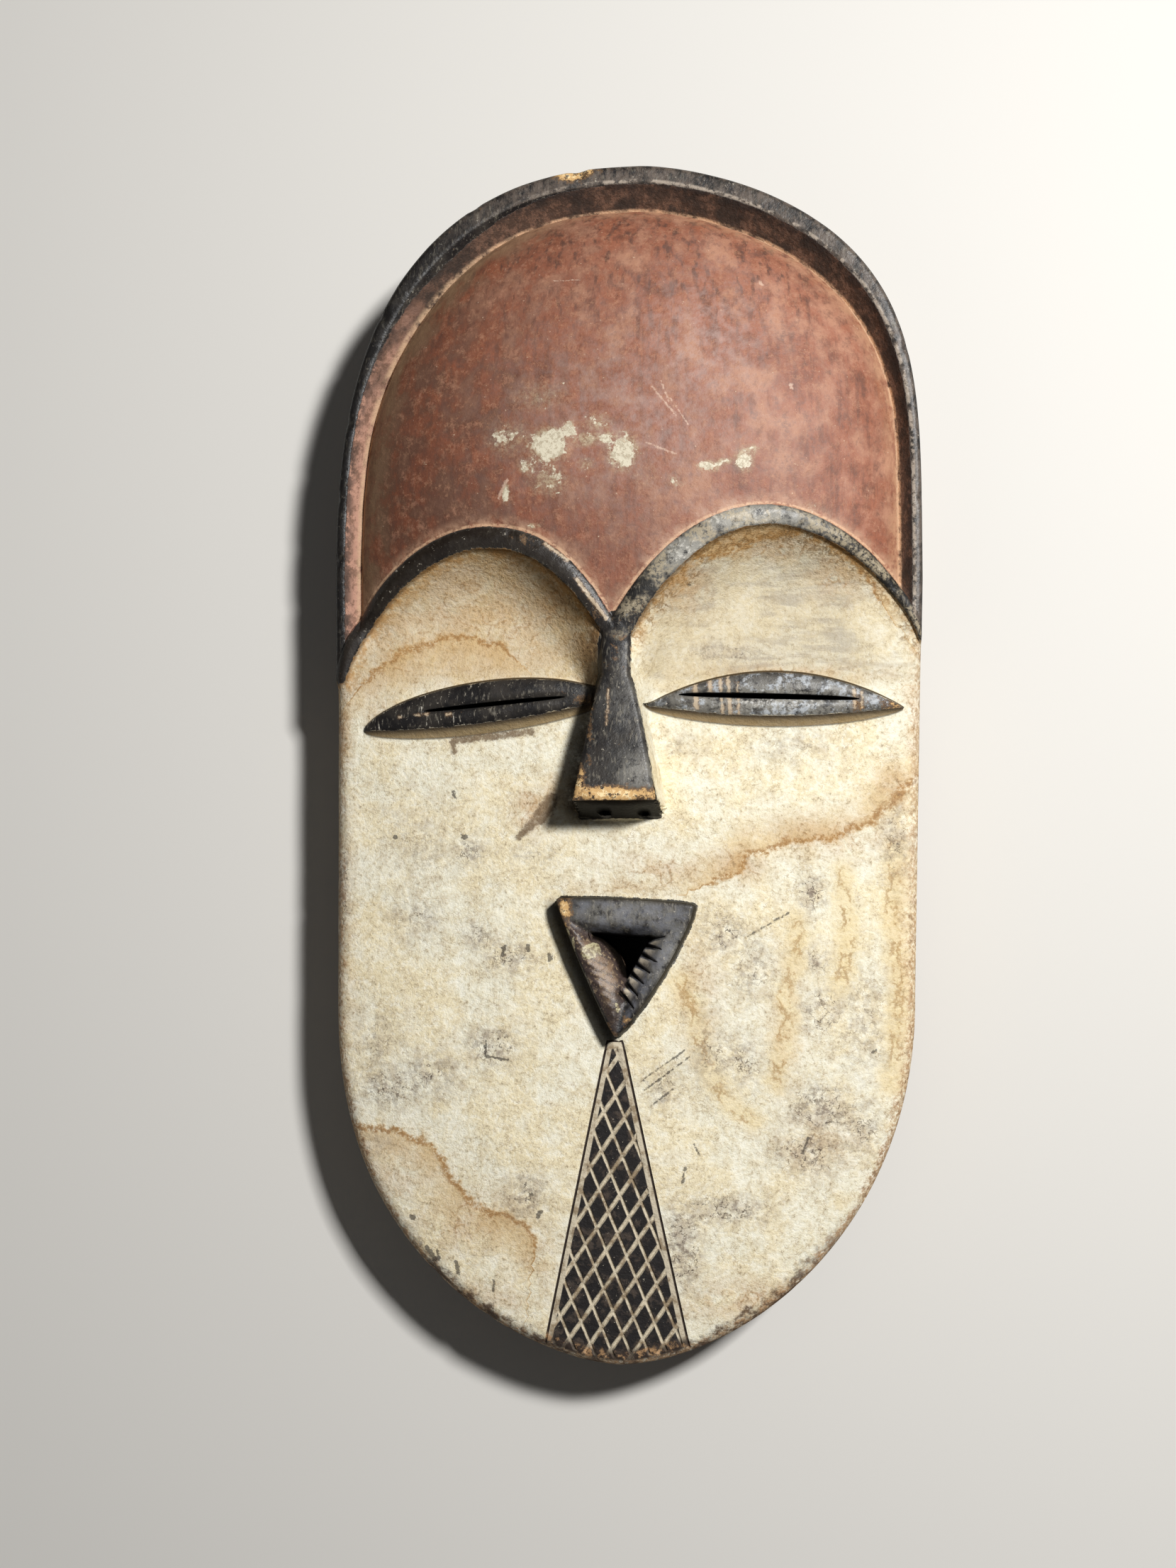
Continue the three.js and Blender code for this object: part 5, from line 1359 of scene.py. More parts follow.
# %% Sums made of nodes
class Wire:
    """A value in a node tree that can be added, multiplied and compared like a number."""

    def __init__(self, tree, socket):
        self.tree = tree
        self.socket = socket

    def math(self, operation, *others):
        node = self.tree.nodes.new("ShaderNodeMath")
        node.operation = operation
        for socket, value in zip(node.inputs, (self, *others)):
            plug(self.tree, value, socket)
        return Wire(self.tree, node.outputs[0])

    def __add__(self, other):
        return self.math("ADD", other)

    def __sub__(self, other):
        return self.math("SUBTRACT", other)

    def __mul__(self, other):
        return self.math("MULTIPLY", other)

    def __truediv__(self, other):
        return self.math("DIVIDE", other)

    def step(self, start, end, low=0.0, high=1.0):
        """A smooth step from low to high while the value goes from start to end."""
        node = self.tree.nodes.new("ShaderNodeMapRange")
        node.interpolation_type = "SMOOTHSTEP"
        plug(self.tree, self, node.inputs["Value"])
        node.inputs["From Min"].default_value = start
        node.inputs["From Max"].default_value = end
        node.inputs["To Min"].default_value = low
        node.inputs["To Max"].default_value = high
        return Wire(self.tree, node.outputs["Result"])


def plug(tree, value, socket):
    if isinstance(value, Wire):
        tree.links.new(value.socket, socket)
    else:
        socket.default_value = value


def plan_place(tree, vector):
    """The plan position in the carver's millimetres, from a position in metres."""
    node = tree.nodes.new("ShaderNodeSeparateXYZ")
    tree.links.new(vector, node.inputs[0])
    x, y, z = (Wire(tree, socket) for socket in node.outputs)
    return x / MM - SHIFT_X, y / MM - SHIFT_Y, z / MM


def scored_line(x, y, slope, spacing):
    """Distance in millimetres to the nearest line of one family."""
    offset = x - (((y * -1) + LATTICE_Y) * slope + LATTICE_X)
    half = spacing * 0.5
    return offset.math("WRAP", half, half * -1.0).math("ABSOLUTE")


# %% Marks tree
MARK_INPUTS = {
    "Falling slope": FALLING["slope"], "Falling spacing": FALLING["spacing"],
    "Rising slope": RISING["slope"], "Rising spacing": RISING["spacing"],
    "Line width": GROOVE_WIDTH, "Line depth": GROOVE_DEPTH,
    "Gouge width": 9.0, "Gouge length": 24.0, "Gouge depth": 0.9,
}
FRAME_CUT_WIDTH, GOUGE_RANDOMNESS = 0.45, 0.75
SHARP_ANGLE = math.radians(52)


def attribute_in(tree, name):
    node = tree.nodes.new("GeometryNodeInputNamedAttribute")
    node.data_type = "FLOAT"
    node.inputs["Name"].default_value = name
    return Wire(tree, node.outputs["Attribute"])


def slant_length(slope):
    """Length of a step of one down and the slope's share across."""
    return slope.math("MULTIPLY_ADD", slope, 1.0).math("SQRT")


def marks_tree(material):
    tree = bpy.data.node_groups.new("repeated marks", "GeometryNodeTree")
    tree.interface.new_socket("Geometry", in_out="INPUT", socket_type="NodeSocketGeometry")
    tree.interface.new_socket("Geometry", in_out="OUTPUT", socket_type="NodeSocketGeometry")
    for name in MARK_INPUTS:
        tree.interface.new_socket(name, in_out="INPUT", socket_type="NodeSocketFloat")
    source = tree.nodes.new("NodeGroupInput")
    given = {name: Wire(tree, source.outputs[name]) for name in MARK_INPUTS}
    position = tree.nodes.new("GeometryNodeInputPosition")
    x, y, z = plan_place(tree, position.outputs[0])

    falling = scored_line(x, y, given["Falling slope"], given["Falling spacing"])
    rising = scored_line(x, y, given["Rising slope"], given["Rising spacing"])
    across_falling = falling / slant_length(given["Falling slope"])
    across_rising = rising / slant_length(given["Rising slope"])
    near = across_falling.math("MINIMUM", across_rising) / (given["Line width"] * 0.5)
    profile = (near.math("MULTIPLY_ADD", -1.0, 1.0)).math("MAXIMUM", 0.0).math("POWER", 0.7)
    panel = attribute_in(tree, "panel")
    inside = panel.step(PANEL_BORDER - 0.15, PANEL_BORDER + 0.15)
    inside = inside * attribute_in(tree, "inset").step(PANEL_CHIN_GAP - 0.4, PANEL_CHIN_GAP)
    frame_cut = (panel.math("ABSOLUTE") / FRAME_CUT_WIDTH).math("MULTIPLY_ADD", -1.0, 1.0)
    frame_cut = frame_cut.math("MAXIMUM", 0.0) * attribute_in(tree, "inset").step(1.0, 2.0)
    on_front = attribute_in(tree, "down").step(0.4, 0.2)
    scored = (profile * inside).math("MAXIMUM", frame_cut) * given["Line depth"] * on_front

    spread = tree.nodes.new("ShaderNodeCombineXYZ")
    plug(tree, x / given["Gouge width"], spread.inputs[0])
    plug(tree, y / given["Gouge length"], spread.inputs[1])
    cells = tree.nodes.new("ShaderNodeTexVoronoi")
    cells.inputs["Scale"].default_value = 1.0
    cells.inputs["Randomness"].default_value = GOUGE_RANDOMNESS
    tree.links.new(spread.outputs[0], cells.inputs["Vector"])
    facet = Wire(tree, cells.outputs["Distance"])
    hollow = attribute_in(tree, "back") * z.step(2.0, 12.0)
    gouged = facet.math("POWER", 2.0) * given["Gouge depth"] * hollow

    offset = tree.nodes.new("ShaderNodeCombineXYZ")
    plug(tree, (scored + gouged) * -MM, offset.inputs[2])
    move = tree.nodes.new("GeometryNodeSetPosition")
    real = tree.nodes.new("GeometryNodeRealizeInstances")
    paint_node = tree.nodes.new("GeometryNodeSetMaterial")
    paint_node.inputs["Material"].default_value = material
    result = tree.nodes.new("NodeGroupOutput")
    tree.links.new(source.outputs["Geometry"], move.inputs["Geometry"])
    tree.links.new(offset.outputs[0], move.inputs["Offset"])
    tree.links.new(move.outputs[0], real.inputs[0])
    tree.links.new(real.outputs[0], paint_node.inputs["Geometry"])
    tree.links.new(paint_node.outputs[0], result.inputs[0])
    return tree


def cut_marks(mask, material):
    """Runs the tree once and keeps the mesh it makes."""
    tree = marks_tree(material)
    modifier = mask.modifiers.new("repeated marks", "NODES")
    modifier.node_group = tree
    for item in tree.interface.items_tree:
        if item.name in MARK_INPUTS:
            modifier[item.identifier] = float(MARK_INPUTS[item.name])
    mask.update_tag()
    seen = mask.evaluated_get(bpy.context.evaluated_depsgraph_get())
    mesh = bpy.data.meshes.new_from_object(seen, preserve_all_data_layers=True,
                                           depsgraph=bpy.context.evaluated_depsgraph_get())
    mask.modifiers.remove(modifier)
    mask.data = mesh
    mesh.shade_smooth()
    mesh.set_sharp_from_angle(angle=SHARP_ANGLE)
    return mesh


print("inputs of the marks:", ", ".join(MARK_INPUTS))

# %% [markdown]
# ## Paint
# One material holds all the layers, in the order that they lie on the wood: bare wood, white clay,
# red earth, black, and then dirt and wear over everything.

# %% Paint helpers
def srgb(red, green, blue):
    """A paint colour from the numbers seen on a screen, 0 to 255."""
    return tuple(((value / 255 + 0.055) / 1.055) ** 2.4 if value > 10 else value / 3295
                 for value in (red, green, blue)) + (1.0,)


material = bpy.data.materials.new("painted wood")
material.use_nodes = True
shade = material.node_tree
shade.nodes.clear()
coordinates = shade.nodes.new("ShaderNodeTexCoord").outputs["Object"]
plan_x, plan_y, _ = plan_place(shade, coordinates)


def mark(name):
    node = shade.nodes.new("ShaderNodeAttribute")
    node.attribute_name = name
    return Wire(shade, node.outputs["Fac"])


def grain(size, detail=4.0, roughness=0.6, stretch=(1, 1, 1), seed=0.0, kind="Fac"):
    """Noise with bumps of the given size in millimetres, from about 0.25 to 0.75."""
    mapping = shade.nodes.new("ShaderNodeMapping")
    mapping.inputs["Scale"].default_value = [1 / (size * MM * part) for part in stretch]
    mapping.inputs["Location"].default_value = (seed, seed * 1.7, seed * 0.6)
    shade.links.new(coordinates, mapping.inputs["Vector"])
    node = shade.nodes.new("ShaderNodeTexNoise")
    node.inputs["Scale"].default_value = 1.0
    node.inputs["Detail"].default_value = detail
    node.inputs["Roughness"].default_value = roughness
    shade.links.new(mapping.outputs[0], node.inputs["Vector"])
    return Wire(shade, node.outputs[kind])


def blend(under, over, share):
    """One colour over another where the share is high."""
    node = shade.nodes.new("ShaderNodeMix")
    node.data_type = "RGBA"
    plug(shade, share, node.inputs[0])
    plug(shade, under, node.inputs[6])
    plug(shade, over, node.inputs[7])
    return Wire(shade, node.outputs[2])


def layered(base, *layers):
    """Colours laid over a base in order, each with the share of the ground that it covers."""
    for colour, share in layers:
        base = blend(base, colour if isinstance(colour, Wire) else srgb(*colour), share)
    return base


print("one material:", material.name)

# %% [markdown]
# ### Bare wood and white clay
# The clay went on as a thin wash. It is thick and pale in the open, thin and brown by the edges, and
# water has drawn brown lines in it where it dried.

# %% Bare wood and white clay
cloud = grain(22, 3.0, 0.6, seed=1.0)
blot = grain(9, 4.0, 0.64, seed=12.0)
mottle = grain(4.5, 5.0, 0.7, seed=2.0)
speck = grain(1.4, 3.0, 0.75, seed=7.0)
fine = grain(0.8, 2.0, 0.6, seed=8.0)
streaks = grain(2.2, 4.0, 0.6, (1, 14, 1), 3.0)
curl = (grain(5.5, 3.0, 0.6, seed=60.0) - 0.5).math("ABSOLUTE")

wood = layered(
    srgb(66, 45, 31),
    ((112, 80, 54), streaks.step(0.35, 0.65)),
    ((44, 31, 23), cloud.step(0.5, 0.66) * 0.6),
)
clay = layered(
    srgb(232, 219, 185),
    ((229, 223, 200), cloud.step(0.42, 0.58)),
    # Blots, then smaller mottling, then specks, each with its brown side and its pale side.
    ((214, 196, 154), blot.step(0.5, 0.66) * 0.36),
    ((236, 231, 212), blot.step(0.5, 0.38) * 0.5),
    ((205, 190, 160), mottle.step(0.48, 0.66) * 0.6),
    ((240, 236, 220), mottle.step(0.47, 0.36) * 0.5),
    ((198, 180, 142), speck.step(0.5, 0.62) * 0.34),
    ((244, 240, 224), speck.step(0.47, 0.37) * 0.4),
    ((120, 102, 80), speck.step(0.57, 0.7) * mottle.step(0.45, 0.58) * 0.6),
    # Fine curling cracks.
    ((158, 136, 104), curl.step(0.016, 0.002) * blot.step(0.44, 0.54) * 0.5),
)
print("nodes in the paint:", len(shade.nodes))

# %% Washes over the lids
left_lid = plan_x.step(3.0, -6.0) * plan_y.step(16.0, 34.0)
right_lid = plan_x.step(3.0, 14.0) * plan_y.step(14.0, 30.0) * plan_x.step(100.0, 70.0, 0.4, 1.0)
swept = grain(3.4, 4.0, 0.65, (7, 1, 1), 41.0)
clay = layered(
    clay,
    ((176, 142, 88), left_lid * 0.46),
    ((166, 152, 124), right_lid * 0.5),
    # Grey left in strokes across the right lid.
    ((146, 134, 118), swept.step(0.46, 0.62) * right_lid * cloud.step(0.36, 0.56) * 0.5),
)
print("nodes in the paint:", len(shade.nodes))

# %% Water stains
tide = mark("tide") + (mottle - 0.5) * 7.0 + (blot - 0.5) * 7.0
wash = tide.step(15.0, 0.5) * tide.step(-1.6, 0.8)
tide_line = (tide - 0.9).math("ABSOLUTE").step(1.9, 0.2)
drip = mark("drip") + (mottle - 0.5) * 8.0 + (blot - 0.5) * 12.0
drip_edge = (drip - 1.6).math("ABSOLUTE").step(1.1, 0.1)
rings = (grain(11, 1.0, 0.5, seed=18.0) - 0.5).math("ABSOLUTE").step(0.02, 0.006)
clay = layered(
    clay,
    # The wash behind each tide line, and the line itself.
    ((206, 176, 126), wash * blot.step(0.3, 0.6, 0.4, 1.0) * 0.72),
    ((152, 110, 60), tide_line * speck.step(0.36, 0.52) * 0.85),
    # Yellow runs of water with a brown edge.
    ((222, 198, 142), drip.step(6.5, 0.5) * 0.55),
    ((156, 118, 66), drip_edge * blot.step(0.44, 0.54) * 0.6),
    # Rings where drops dried on soiled ground.
    ((146, 106, 60), rings * mark("soil").step(0.1, 0.5) * speck.step(0.4, 0.55) * 0.5),
)
print("nodes in the paint:", len(shade.nodes))

# %% Dirt on the clay
soil = mark("soil") * grain(7, 4.0, 0.66, seed=9.0).step(0.32, 0.58)
dirty = mark("grey") + mark("smear").step(1.0, -0.5) * 0.5
greyed = dirty * grain(2.6, 5.0, 0.75, seed=14.0).step(0.46, 0.6)
grey_cracks = curl.step(0.02, 0.004) * dirty.step(0.25, 0.7) * fine.step(0.4, 0.52)
clay = layered(
    clay,
    ((180, 136, 80), soil * 0.8),
    ((88, 64, 44), soil * speck.step(0.52, 0.64) * 0.65),
    ((160, 146, 132), dirty.math("MINIMUM", 1.0) * mottle.step(0.36, 0.6) * 0.5),
    ((112, 96, 84), greyed.math("MINIMUM", 1.0) * 0.75),
    ((74, 62, 52), grey_cracks * 0.8),
)
print("nodes in the paint:", len(shade.nodes))

# %% Dirt along the edge
edge_noise = grain(4, 5.0, 0.7, seed=16.0)
rough_inset = mark("inset") + (edge_noise - 0.5) * 12.0
toward_chin = plan_y * -1.0
edge_dirt = rough_inset.step(4.0, 1.0) * toward_chin.step(-60.0, 190.0, 0.5, 1.0)
edge_dirt = edge_dirt * mark("down").step(0.5, 5.0, 1.0, 0.4)
chin_dirt = rough_inset.step(5.5, 3.0) * toward_chin.step(145.0, 180.0)
dark_dirt = chin_dirt.math("MAXIMUM", edge_dirt * speck.step(0.5, 0.6) * 0.7)
clay = layered(
    clay,
    ((172, 132, 92), edge_dirt * speck.step(0.36, 0.52) * 0.85),
    ((84, 62, 44), dark_dirt * mottle.step(0.6, 0.42) * 0.9),
)
print("nodes in the paint:", len(shade.nodes))

# %% Dirt, darker tones and painted shadows beside the eyes, bands, nose and mouth
# The slope under each raised eye faces down, and its paint is partly painted shade.
sill = mark("sill").step(0.0, 0.35) * mark("eye").step(-0.2, 0.1)
sill_foot = (mark("sill") - 0.1).math("ABSOLUTE").step(0.3, 0.08)
under_band = mark("band").step(7.0, 0.4) * mottle.step(0.4, 0.6) * plan_x.step(-4.0, 20.0, 1.0, 0.6)
crumbs = curl.step(0.05, 0.01) + speck.step(0.56, 0.64)
crumbs = crumbs * (mark("band") + (blot - 0.5) * 16.0).step(7.0, 2.0)
# Painted shadow where the nose throws its shade on the clay to its left.
painted_shadow_by_nose = mark("nose").step(9.0, 1.0) * plan_x.step(0.0, -8.0)
# Painted shadow where the mouth's ring throws its shade on the clay to its left.
painted_shadow_by_mouth = mark("mouth").step(6.5, 2.0) * plan_x.step(0.0, -4.0) * plan_y.step(-46.0, -52.0)
clay = layered(
    clay,
    # The slope under each eye is brown, darker next to the eye and along its foot: partly its own brown,
    # partly painted shade.
    ((140, 116, 76), sill * 0.9),
    ((44, 34, 24), sill * mark("eye").step(2.4, 0.0) * 0.9),
    ((44, 34, 24), sill_foot * 0.6),
    # Crumbs, and a brown tint under the brow bands that is darkest right at the band.
    ((120, 92, 56), crumbs.math("MINIMUM", 1.0) * plan_x.step(-40.0, -10.0, 0.4, 1.0) * 0.65),
    ((178, 132, 72), under_band * 0.7),
    ((84, 58, 34), mark("band").step(1.3, 0.1) * 0.6),
    # Painted shadow on the clay to the left of the nose and of the mouth, where their shade falls.
    ((60, 42, 30), painted_shadow_by_nose * mottle.step(0.3, 0.52) * plan_y.step(20.0, -16.0, 0.7, 0.95)),
    ((34, 24, 16), painted_shadow_by_mouth * mark("mouth").step(-1.0, 0.0) * 0.85),
)
print("nodes in the paint:", len(shade.nodes))

# %% Smears and strokes on the clay
smear = (mark("smear") + (speck - 0.5) * 3.0 + (fine - 0.5) * 1.5).step(0.4, -0.5)
stroke = (mark("stroke") + (speck - 0.5) * 2.4 + (fine - 0.5) * 1.2).step(0.15, -0.25)
clay = layered(
    clay,
    ((112, 90, 64), smear * mottle.step(0.34, 0.5, 0.5, 0.85)),
    ((50, 40, 31), stroke * 0.76),
)
print("nodes in the paint:", len(shade.nodes))

# %% [markdown]
# ### Red earth
# The forehead is rubbed with red earth that is darker and browner on the left, with fine streaks that
# follow the grain, a painted highlight in the middle, and flakes of an older pale coat.

# %% Red earth
red_cloud = grain(30, 3.0, 0.6, seed=22.0)
red_patch = grain(11, 4.0, 0.62, (1, 1.3, 1), 25.0)
red_fine = grain(3, 6.0, 0.78, (1, 1.5, 1), 21.0)
brushed = grain(2.4, 3.0, 0.6, (1, 9, 1), 24.0)
hair = (grain(6, 4.0, 0.7, seed=26.0) - 0.5).math("ABSOLUTE").step(0.02, 0.003)
uneven_x = plan_x + plan_y * 0.3 + (red_cloud - 0.5) * 130.0 + (red_patch - 0.5) * 60.0
to_left = uneven_x.step(86.0, -60.0)
at_top = plan_y.step(120.0, 170.0, 0.45, 1.0)
streaked = brushed.step(0.48, 0.66) * red_patch.step(0.38, 0.54) * at_top
red = layered(
    srgb(154, 104, 83),
    ((138, 90, 70), red_cloud.step(0.4, 0.6)),
    ((74, 48, 35), to_left * 0.9),
    # Large patches: orange, dark and pale.
    ((148, 80, 50), red_patch.step(0.42, 0.62) * 0.5),
    ((66, 45, 37), red_patch.step(0.5, 0.7) * blot.step(0.36, 0.56) * 0.6),
    ((186, 140, 112), red_patch.step(0.52, 0.32) * to_left.step(1.0, 0.0, 0.12, 0.5)),
    # Small patches, dark and pale, and streaks along the grain.
    ((84, 54, 44), red_fine.step(0.5, 0.68) * 0.42),
    ((180, 136, 108), red_fine.step(0.48, 0.34) * 0.26),
    ((84, 57, 47), streaked * 0.85),
    # Hairlines, mottling, and a painted highlight in the middle of the dome.
    ((196, 152, 116), hair * mottle.step(0.46, 0.58) * 0.2),
    ((172, 124, 100), mottle.step(0.51, 0.64) * speck.step(0.4, 0.56) * 0.4),
    ((88, 58, 46), mottle.step(0.48, 0.36) * speck.step(0.6, 0.44) * 0.45),
    ((190, 162, 152), mark("dust_and_sheen") * mottle.step(0.64, 0.34) * 0.5),
)
print("nodes in the paint:", len(shade.nodes))

# %% Edges of the red earth
olive = mark("valley").step(15.0, 1.0) * plan_x.step(-10.0, -50.0)
left_tan = mark("valley").step(7.0, 1.0) * plan_x.step(-20.0, -50.0)
edge_tan = mark("valley").step(6.0, 0.8) * plan_x.step(-60.0, -10.0) * mottle.step(0.62, 0.4)
# Painted highlight along the upper edge of the brow bands.
band_top_highlight = (mark("band") - 0.6).math("ABSOLUTE").step(0.8, 0.2)
red = layered(
    red,
    ((136, 108, 80), olive * red_patch.step(0.66, 0.4) * 0.8),
    ((170, 134, 100), left_tan * mottle.step(0.64, 0.4) * 0.6),
    ((198, 152, 118), edge_tan * 0.6),
    ((196, 156, 126), mark("band").step(5.0, 0.3) * mottle.step(0.62, 0.38) * 0.6),
    # Painted highlight: a pale line where each band's top wall faces the light.
    ((216, 178, 142), band_top_highlight * speck.step(0.62, 0.46) * 0.6),
)
print("nodes in the paint:", len(shade.nodes))

# %% Flakes and scratches in the red earth
haze = mark("flake").step(0.12, 0.7)
flake = (mark("flake") + (grain(4.4, 4.0, 0.7, seed=27.0) - 0.5) * 2.0).step(0.5, 0.66)
flake_colour = layered(srgb(214, 206, 182), ((156, 142, 118), speck.step(0.47, 0.6) * 0.7))
scratch = (mark("scratch") + (speck - 0.5) * 1.8 + (fine - 0.5) * 1.2).step(0.2, -0.3)
red = layered(
    red,
    ((150, 132, 104), haze * red_patch.step(0.4, 0.56) * 0.5),
    ((186, 172, 142), haze * speck.step(0.46, 0.58) * 0.6),
    (flake_colour, flake * 0.9),
    ((220, 196, 168), (speck + haze * 0.05).step(0.68, 0.74) * 0.65),
    ((212, 184, 162), scratch * 0.55),
)
print("nodes in the paint:", len(shade.nodes))

# %% The rim's slope
# The slope is darker towards the top and the right.
round_rim = plan_x + plan_y * 0.5 + (red_patch - 0.5) * 60.0
rim_dark = round_rim.step(-38.0, 26.0)
rim_wood = layered(
    srgb(174, 132, 112),
    ((74, 54, 42), rim_dark),
    ((120, 88, 70), red_fine.step(0.46, 0.58) * 0.8),
    ((58, 44, 36), red_fine.step(0.54, 0.68) * rim_dark.step(0.0, 1.0, 0.35, 0.8)),
    ((42, 33, 27), red_patch.step(0.44, 0.6) * rim_dark * 0.8),
    ((40, 32, 28), mark("crest").step(3.4, 0.2) * mottle.step(0.4, 0.54) * 0.8),
)
on_slope = (mark("valley") + (speck - 0.5) * 0.6).step(0.2, -0.2)
left_side = plan_x.step(-30.0, -76.0, 1.0, 2.0)
valley_line = (mark("valley") + 0.1 + (speck - 0.5) * 0.8).math("ABSOLUTE") / left_side
line_colour = layered(srgb(212, 174, 140), ((192, 160, 128), plan_x.step(-30.0, -70.0)))
forehead_paint = layered(
    red,
    (rim_wood, on_slope),
    # A pale line is left along the valley, wider on the left.
    (line_colour, valley_line.step(1.1, 0.3) * mottle.step(0.66, 0.44) * 0.8),
)
painted = blend(clay, forehead_paint, mark("above"))
print("nodes in the paint:", len(shade.nodes))

# %% [markdown]
# ### Black
# The black is soot in a resin. It shines a little where hands have rubbed it, turns grey on the right
# brow and eye with a dusting and a painted sheen, and has worn through to the wood on the tip of the
# nose and the left lip.

# %% Black
ticks = grain(0.9, 2.0, 0.6, (1, 4, 1), 34.0)
left_eye = mark("eye").step(0.4, -0.4) * plan_x.step(-36.0, -70.0)
dust_and_sheen = mark("dust_and_sheen") * grain(3, 5.0, 0.72, seed=36.0).step(0.34, 0.54)
black = layered(
    srgb(24, 22, 22),
    ((46, 42, 38), blot.step(0.42, 0.62)),
    # Grey ticks along the grain, pale ones at the outer end of the left eye.
    ((112, 106, 94), ticks.step(0.53, 0.66) * mottle.step(0.42, 0.56) * 0.65),
    ((204, 198, 186), left_eye * ticks.step(0.64, 0.7) * mottle.step(0.44, 0.54) * 0.75),
    # A dusting and a painted sheen: grey, with pale specks.
    ((164, 160, 150), dust_and_sheen * 0.8),
    ((204, 200, 190), mark("dust_and_sheen").step(0.5, 1.0) * speck.step(0.52, 0.62) * 0.65),
)
print("nodes in the paint:", len(shade.nodes))

# %% Black of the bands, rim, right eye and mouth
on_band = mark("band").step(0.0, -0.9) * mark("eye").step(-0.5, 0.5)
on_right = plan_x.step(-4.0, 6.0, 0.12, 1.0)
band_dust = on_band * on_right * blot.step(0.42, 0.56) * speck.step(0.4, 0.54)
on_crest = mark("above") * mark("crest").step(0.3, -0.2)
right_crest = on_crest * (plan_y + plan_x).step(90.0, 180.0)
on_eye = mark("eye").step(0.0, -0.8) * plan_x.step(4.0, 12.0)
on_bar = mark("mouth").step(-0.6, -2.0) * mark("lip").step(0.5, 2.0) * plan_x.step(-16.0, -12.0)
black = layered(
    black,
    ((168, 154, 128), band_dust * 0.75),
    ((30, 22, 15), on_band * plan_x.step(0.0, -8.0) * 0.85),
    ((104, 92, 82), right_crest * red_fine.step(0.62, 0.4) * 0.75),
    # Pale blue-grey mottling on the right eye, a dusting and a painted sheen, then dark mottling.
    ((190, 196, 202), on_eye * (mottle + speck * 0.4).step(0.7, 0.84) * 0.6),
    ((36, 34, 35), on_eye * (blot + speck * 0.3).step(0.62, 0.5) * 0.65),
    # Blue-grey on the mouth's ring: painted sheen.
    ((120, 122, 130), on_bar * mottle.step(0.66, 0.36) * 0.5),
)
print("nodes in the paint:", len(shade.nodes))

# %% Wear in the black
worn = mark("wear") * 1.5 + (grain(2.8, 5.0, 0.75, seed=31.0) - 0.5) * 3.2
pits = worn.step(0.6, 1.0) * (mottle + speck * 0.5 + fine * 0.25).step(0.88, 0.96)
left_crest = on_crest * plan_x.step(-50.0, -80.0)
crest_edge = (mark("crest") + 0.7).math("ABSOLUTE").step(1.0, 0.2) * mottle.step(0.44, 0.54)
crest_edge = crest_edge * mark("above") * plan_x.step(-50.0, 0.0, 0.0, 1.0)
black = layered(
    black,
    # Thin black, bare wood, and the palest wood where it is worn most, with dark pits.
    ((104, 80, 56), worn.step(0.5, 0.8) * 0.9),
    ((204, 164, 108), worn.step(0.85, 1.2) * 0.9),
    ((240, 216, 168), worn.step(1.2, 1.7) * speck.step(0.46, 0.56) * 0.9),
    ((70, 48, 30), pits * 0.9),
    ((28, 22, 18), pits * speck.step(0.52, 0.6) * 0.8),
    ((206, 196, 178), speck.step(0.65, 0.71) * 0.5),
    ((18, 15, 13), left_crest * mottle.step(0.34, 0.54) * 0.7),
    ((176, 162, 146), crest_edge * 0.75),
)
print("nodes in the paint:", len(shade.nodes))

# %% Left lip, teeth and depths
RIDGE_START, RIDGE_DIRECTION = (9.6, -60.2), (0.892, -0.452)
left_lip = mark("lip").step(0.4, -0.5) * mark("mouth").step(-0.4, -1.2)
ribs = (plan_y * 2.4 + plan_x * 1.2 + (mottle - 0.5) * 9.0).math("SINE")
lip_middle = (mark("lip") + (mottle - 0.5) * 5.0).step(-1.6, -4.4)
lip_colour = layered(
    srgb(70, 58, 54),
    ((132, 106, 80), lip_middle),
    ((52, 40, 34), ribs.step(-0.2, 0.9) * mottle.step(0.4, 0.5) * 0.6),
    ((170, 146, 114), speck.step(0.53, 0.64) * 0.6),
    ((48, 38, 33), plan_y.step(-76.0, -88.0) * 0.75),
)
lip_flake = layered(srgb(186, 176, 140), ((120, 106, 80), speck.step(0.46, 0.58)))
from_throat = (plan_x - RIDGE_START[0]) * RIDGE_DIRECTION[0] + (plan_y - RIDGE_START[1]) * RIDGE_DIRECTION[1]
ridges = mark("teeth").step(0.6, -0.4) * mark("notch").step(0.2, 0.0) * from_throat.step(5.5, 1.5)
rubbed = (mark("scratch") + (speck - 0.5) * 2.4).step(0.7, 0.0)
black = layered(
    black,
    (lip_colour, left_lip * 0.9),
    (lip_flake, flake * 0.85),
    ((206, 192, 168), ridges * speck.step(0.7, 0.4, 0.6, 1.0) * 0.85),
    ((122, 96, 70), rubbed * mottle.step(0.4, 0.54) * 0.6),
    ((200, 180, 152), scratch * 0.7),
    # The notches and the steep walls are painted near black: painted shade in the cuts and on the walls.
    ((12, 9, 7), mark("notch").step(0.3, 0.65) * 0.9),
    ((9, 7, 5), mark("steep").step(0.45, 0.7) * 0.92),
)
black_share = (mark("black") + (mottle - 0.5) * 1.4 + (speck - 0.5) * 0.9).step(0.14, -0.14)
# The slits are painted near black: painted shade inside them.
painted = layered(painted, (black, black_share), ((8, 8, 8), mark("slit").step(0.4, -0.2)))
print("nodes in the paint:", len(shade.nodes))

# %% [markdown]
# ### Chin panel
# The panel was blackened first and scored afterwards, so the lines are pale and the diamonds black.

# %% Paint of the chin panel
def line_share(family, width):
    """The scraped share of one family of lines, a little uneven in width."""
    distance = scored_line(plan_x, plan_y, family["slope"], family["spacing"])
    distance = distance / math.hypot(1, family["slope"]) + (mottle - 0.5) * 0.6
    return distance.step(width / 2 + 0.12, width / 2 - 0.22)


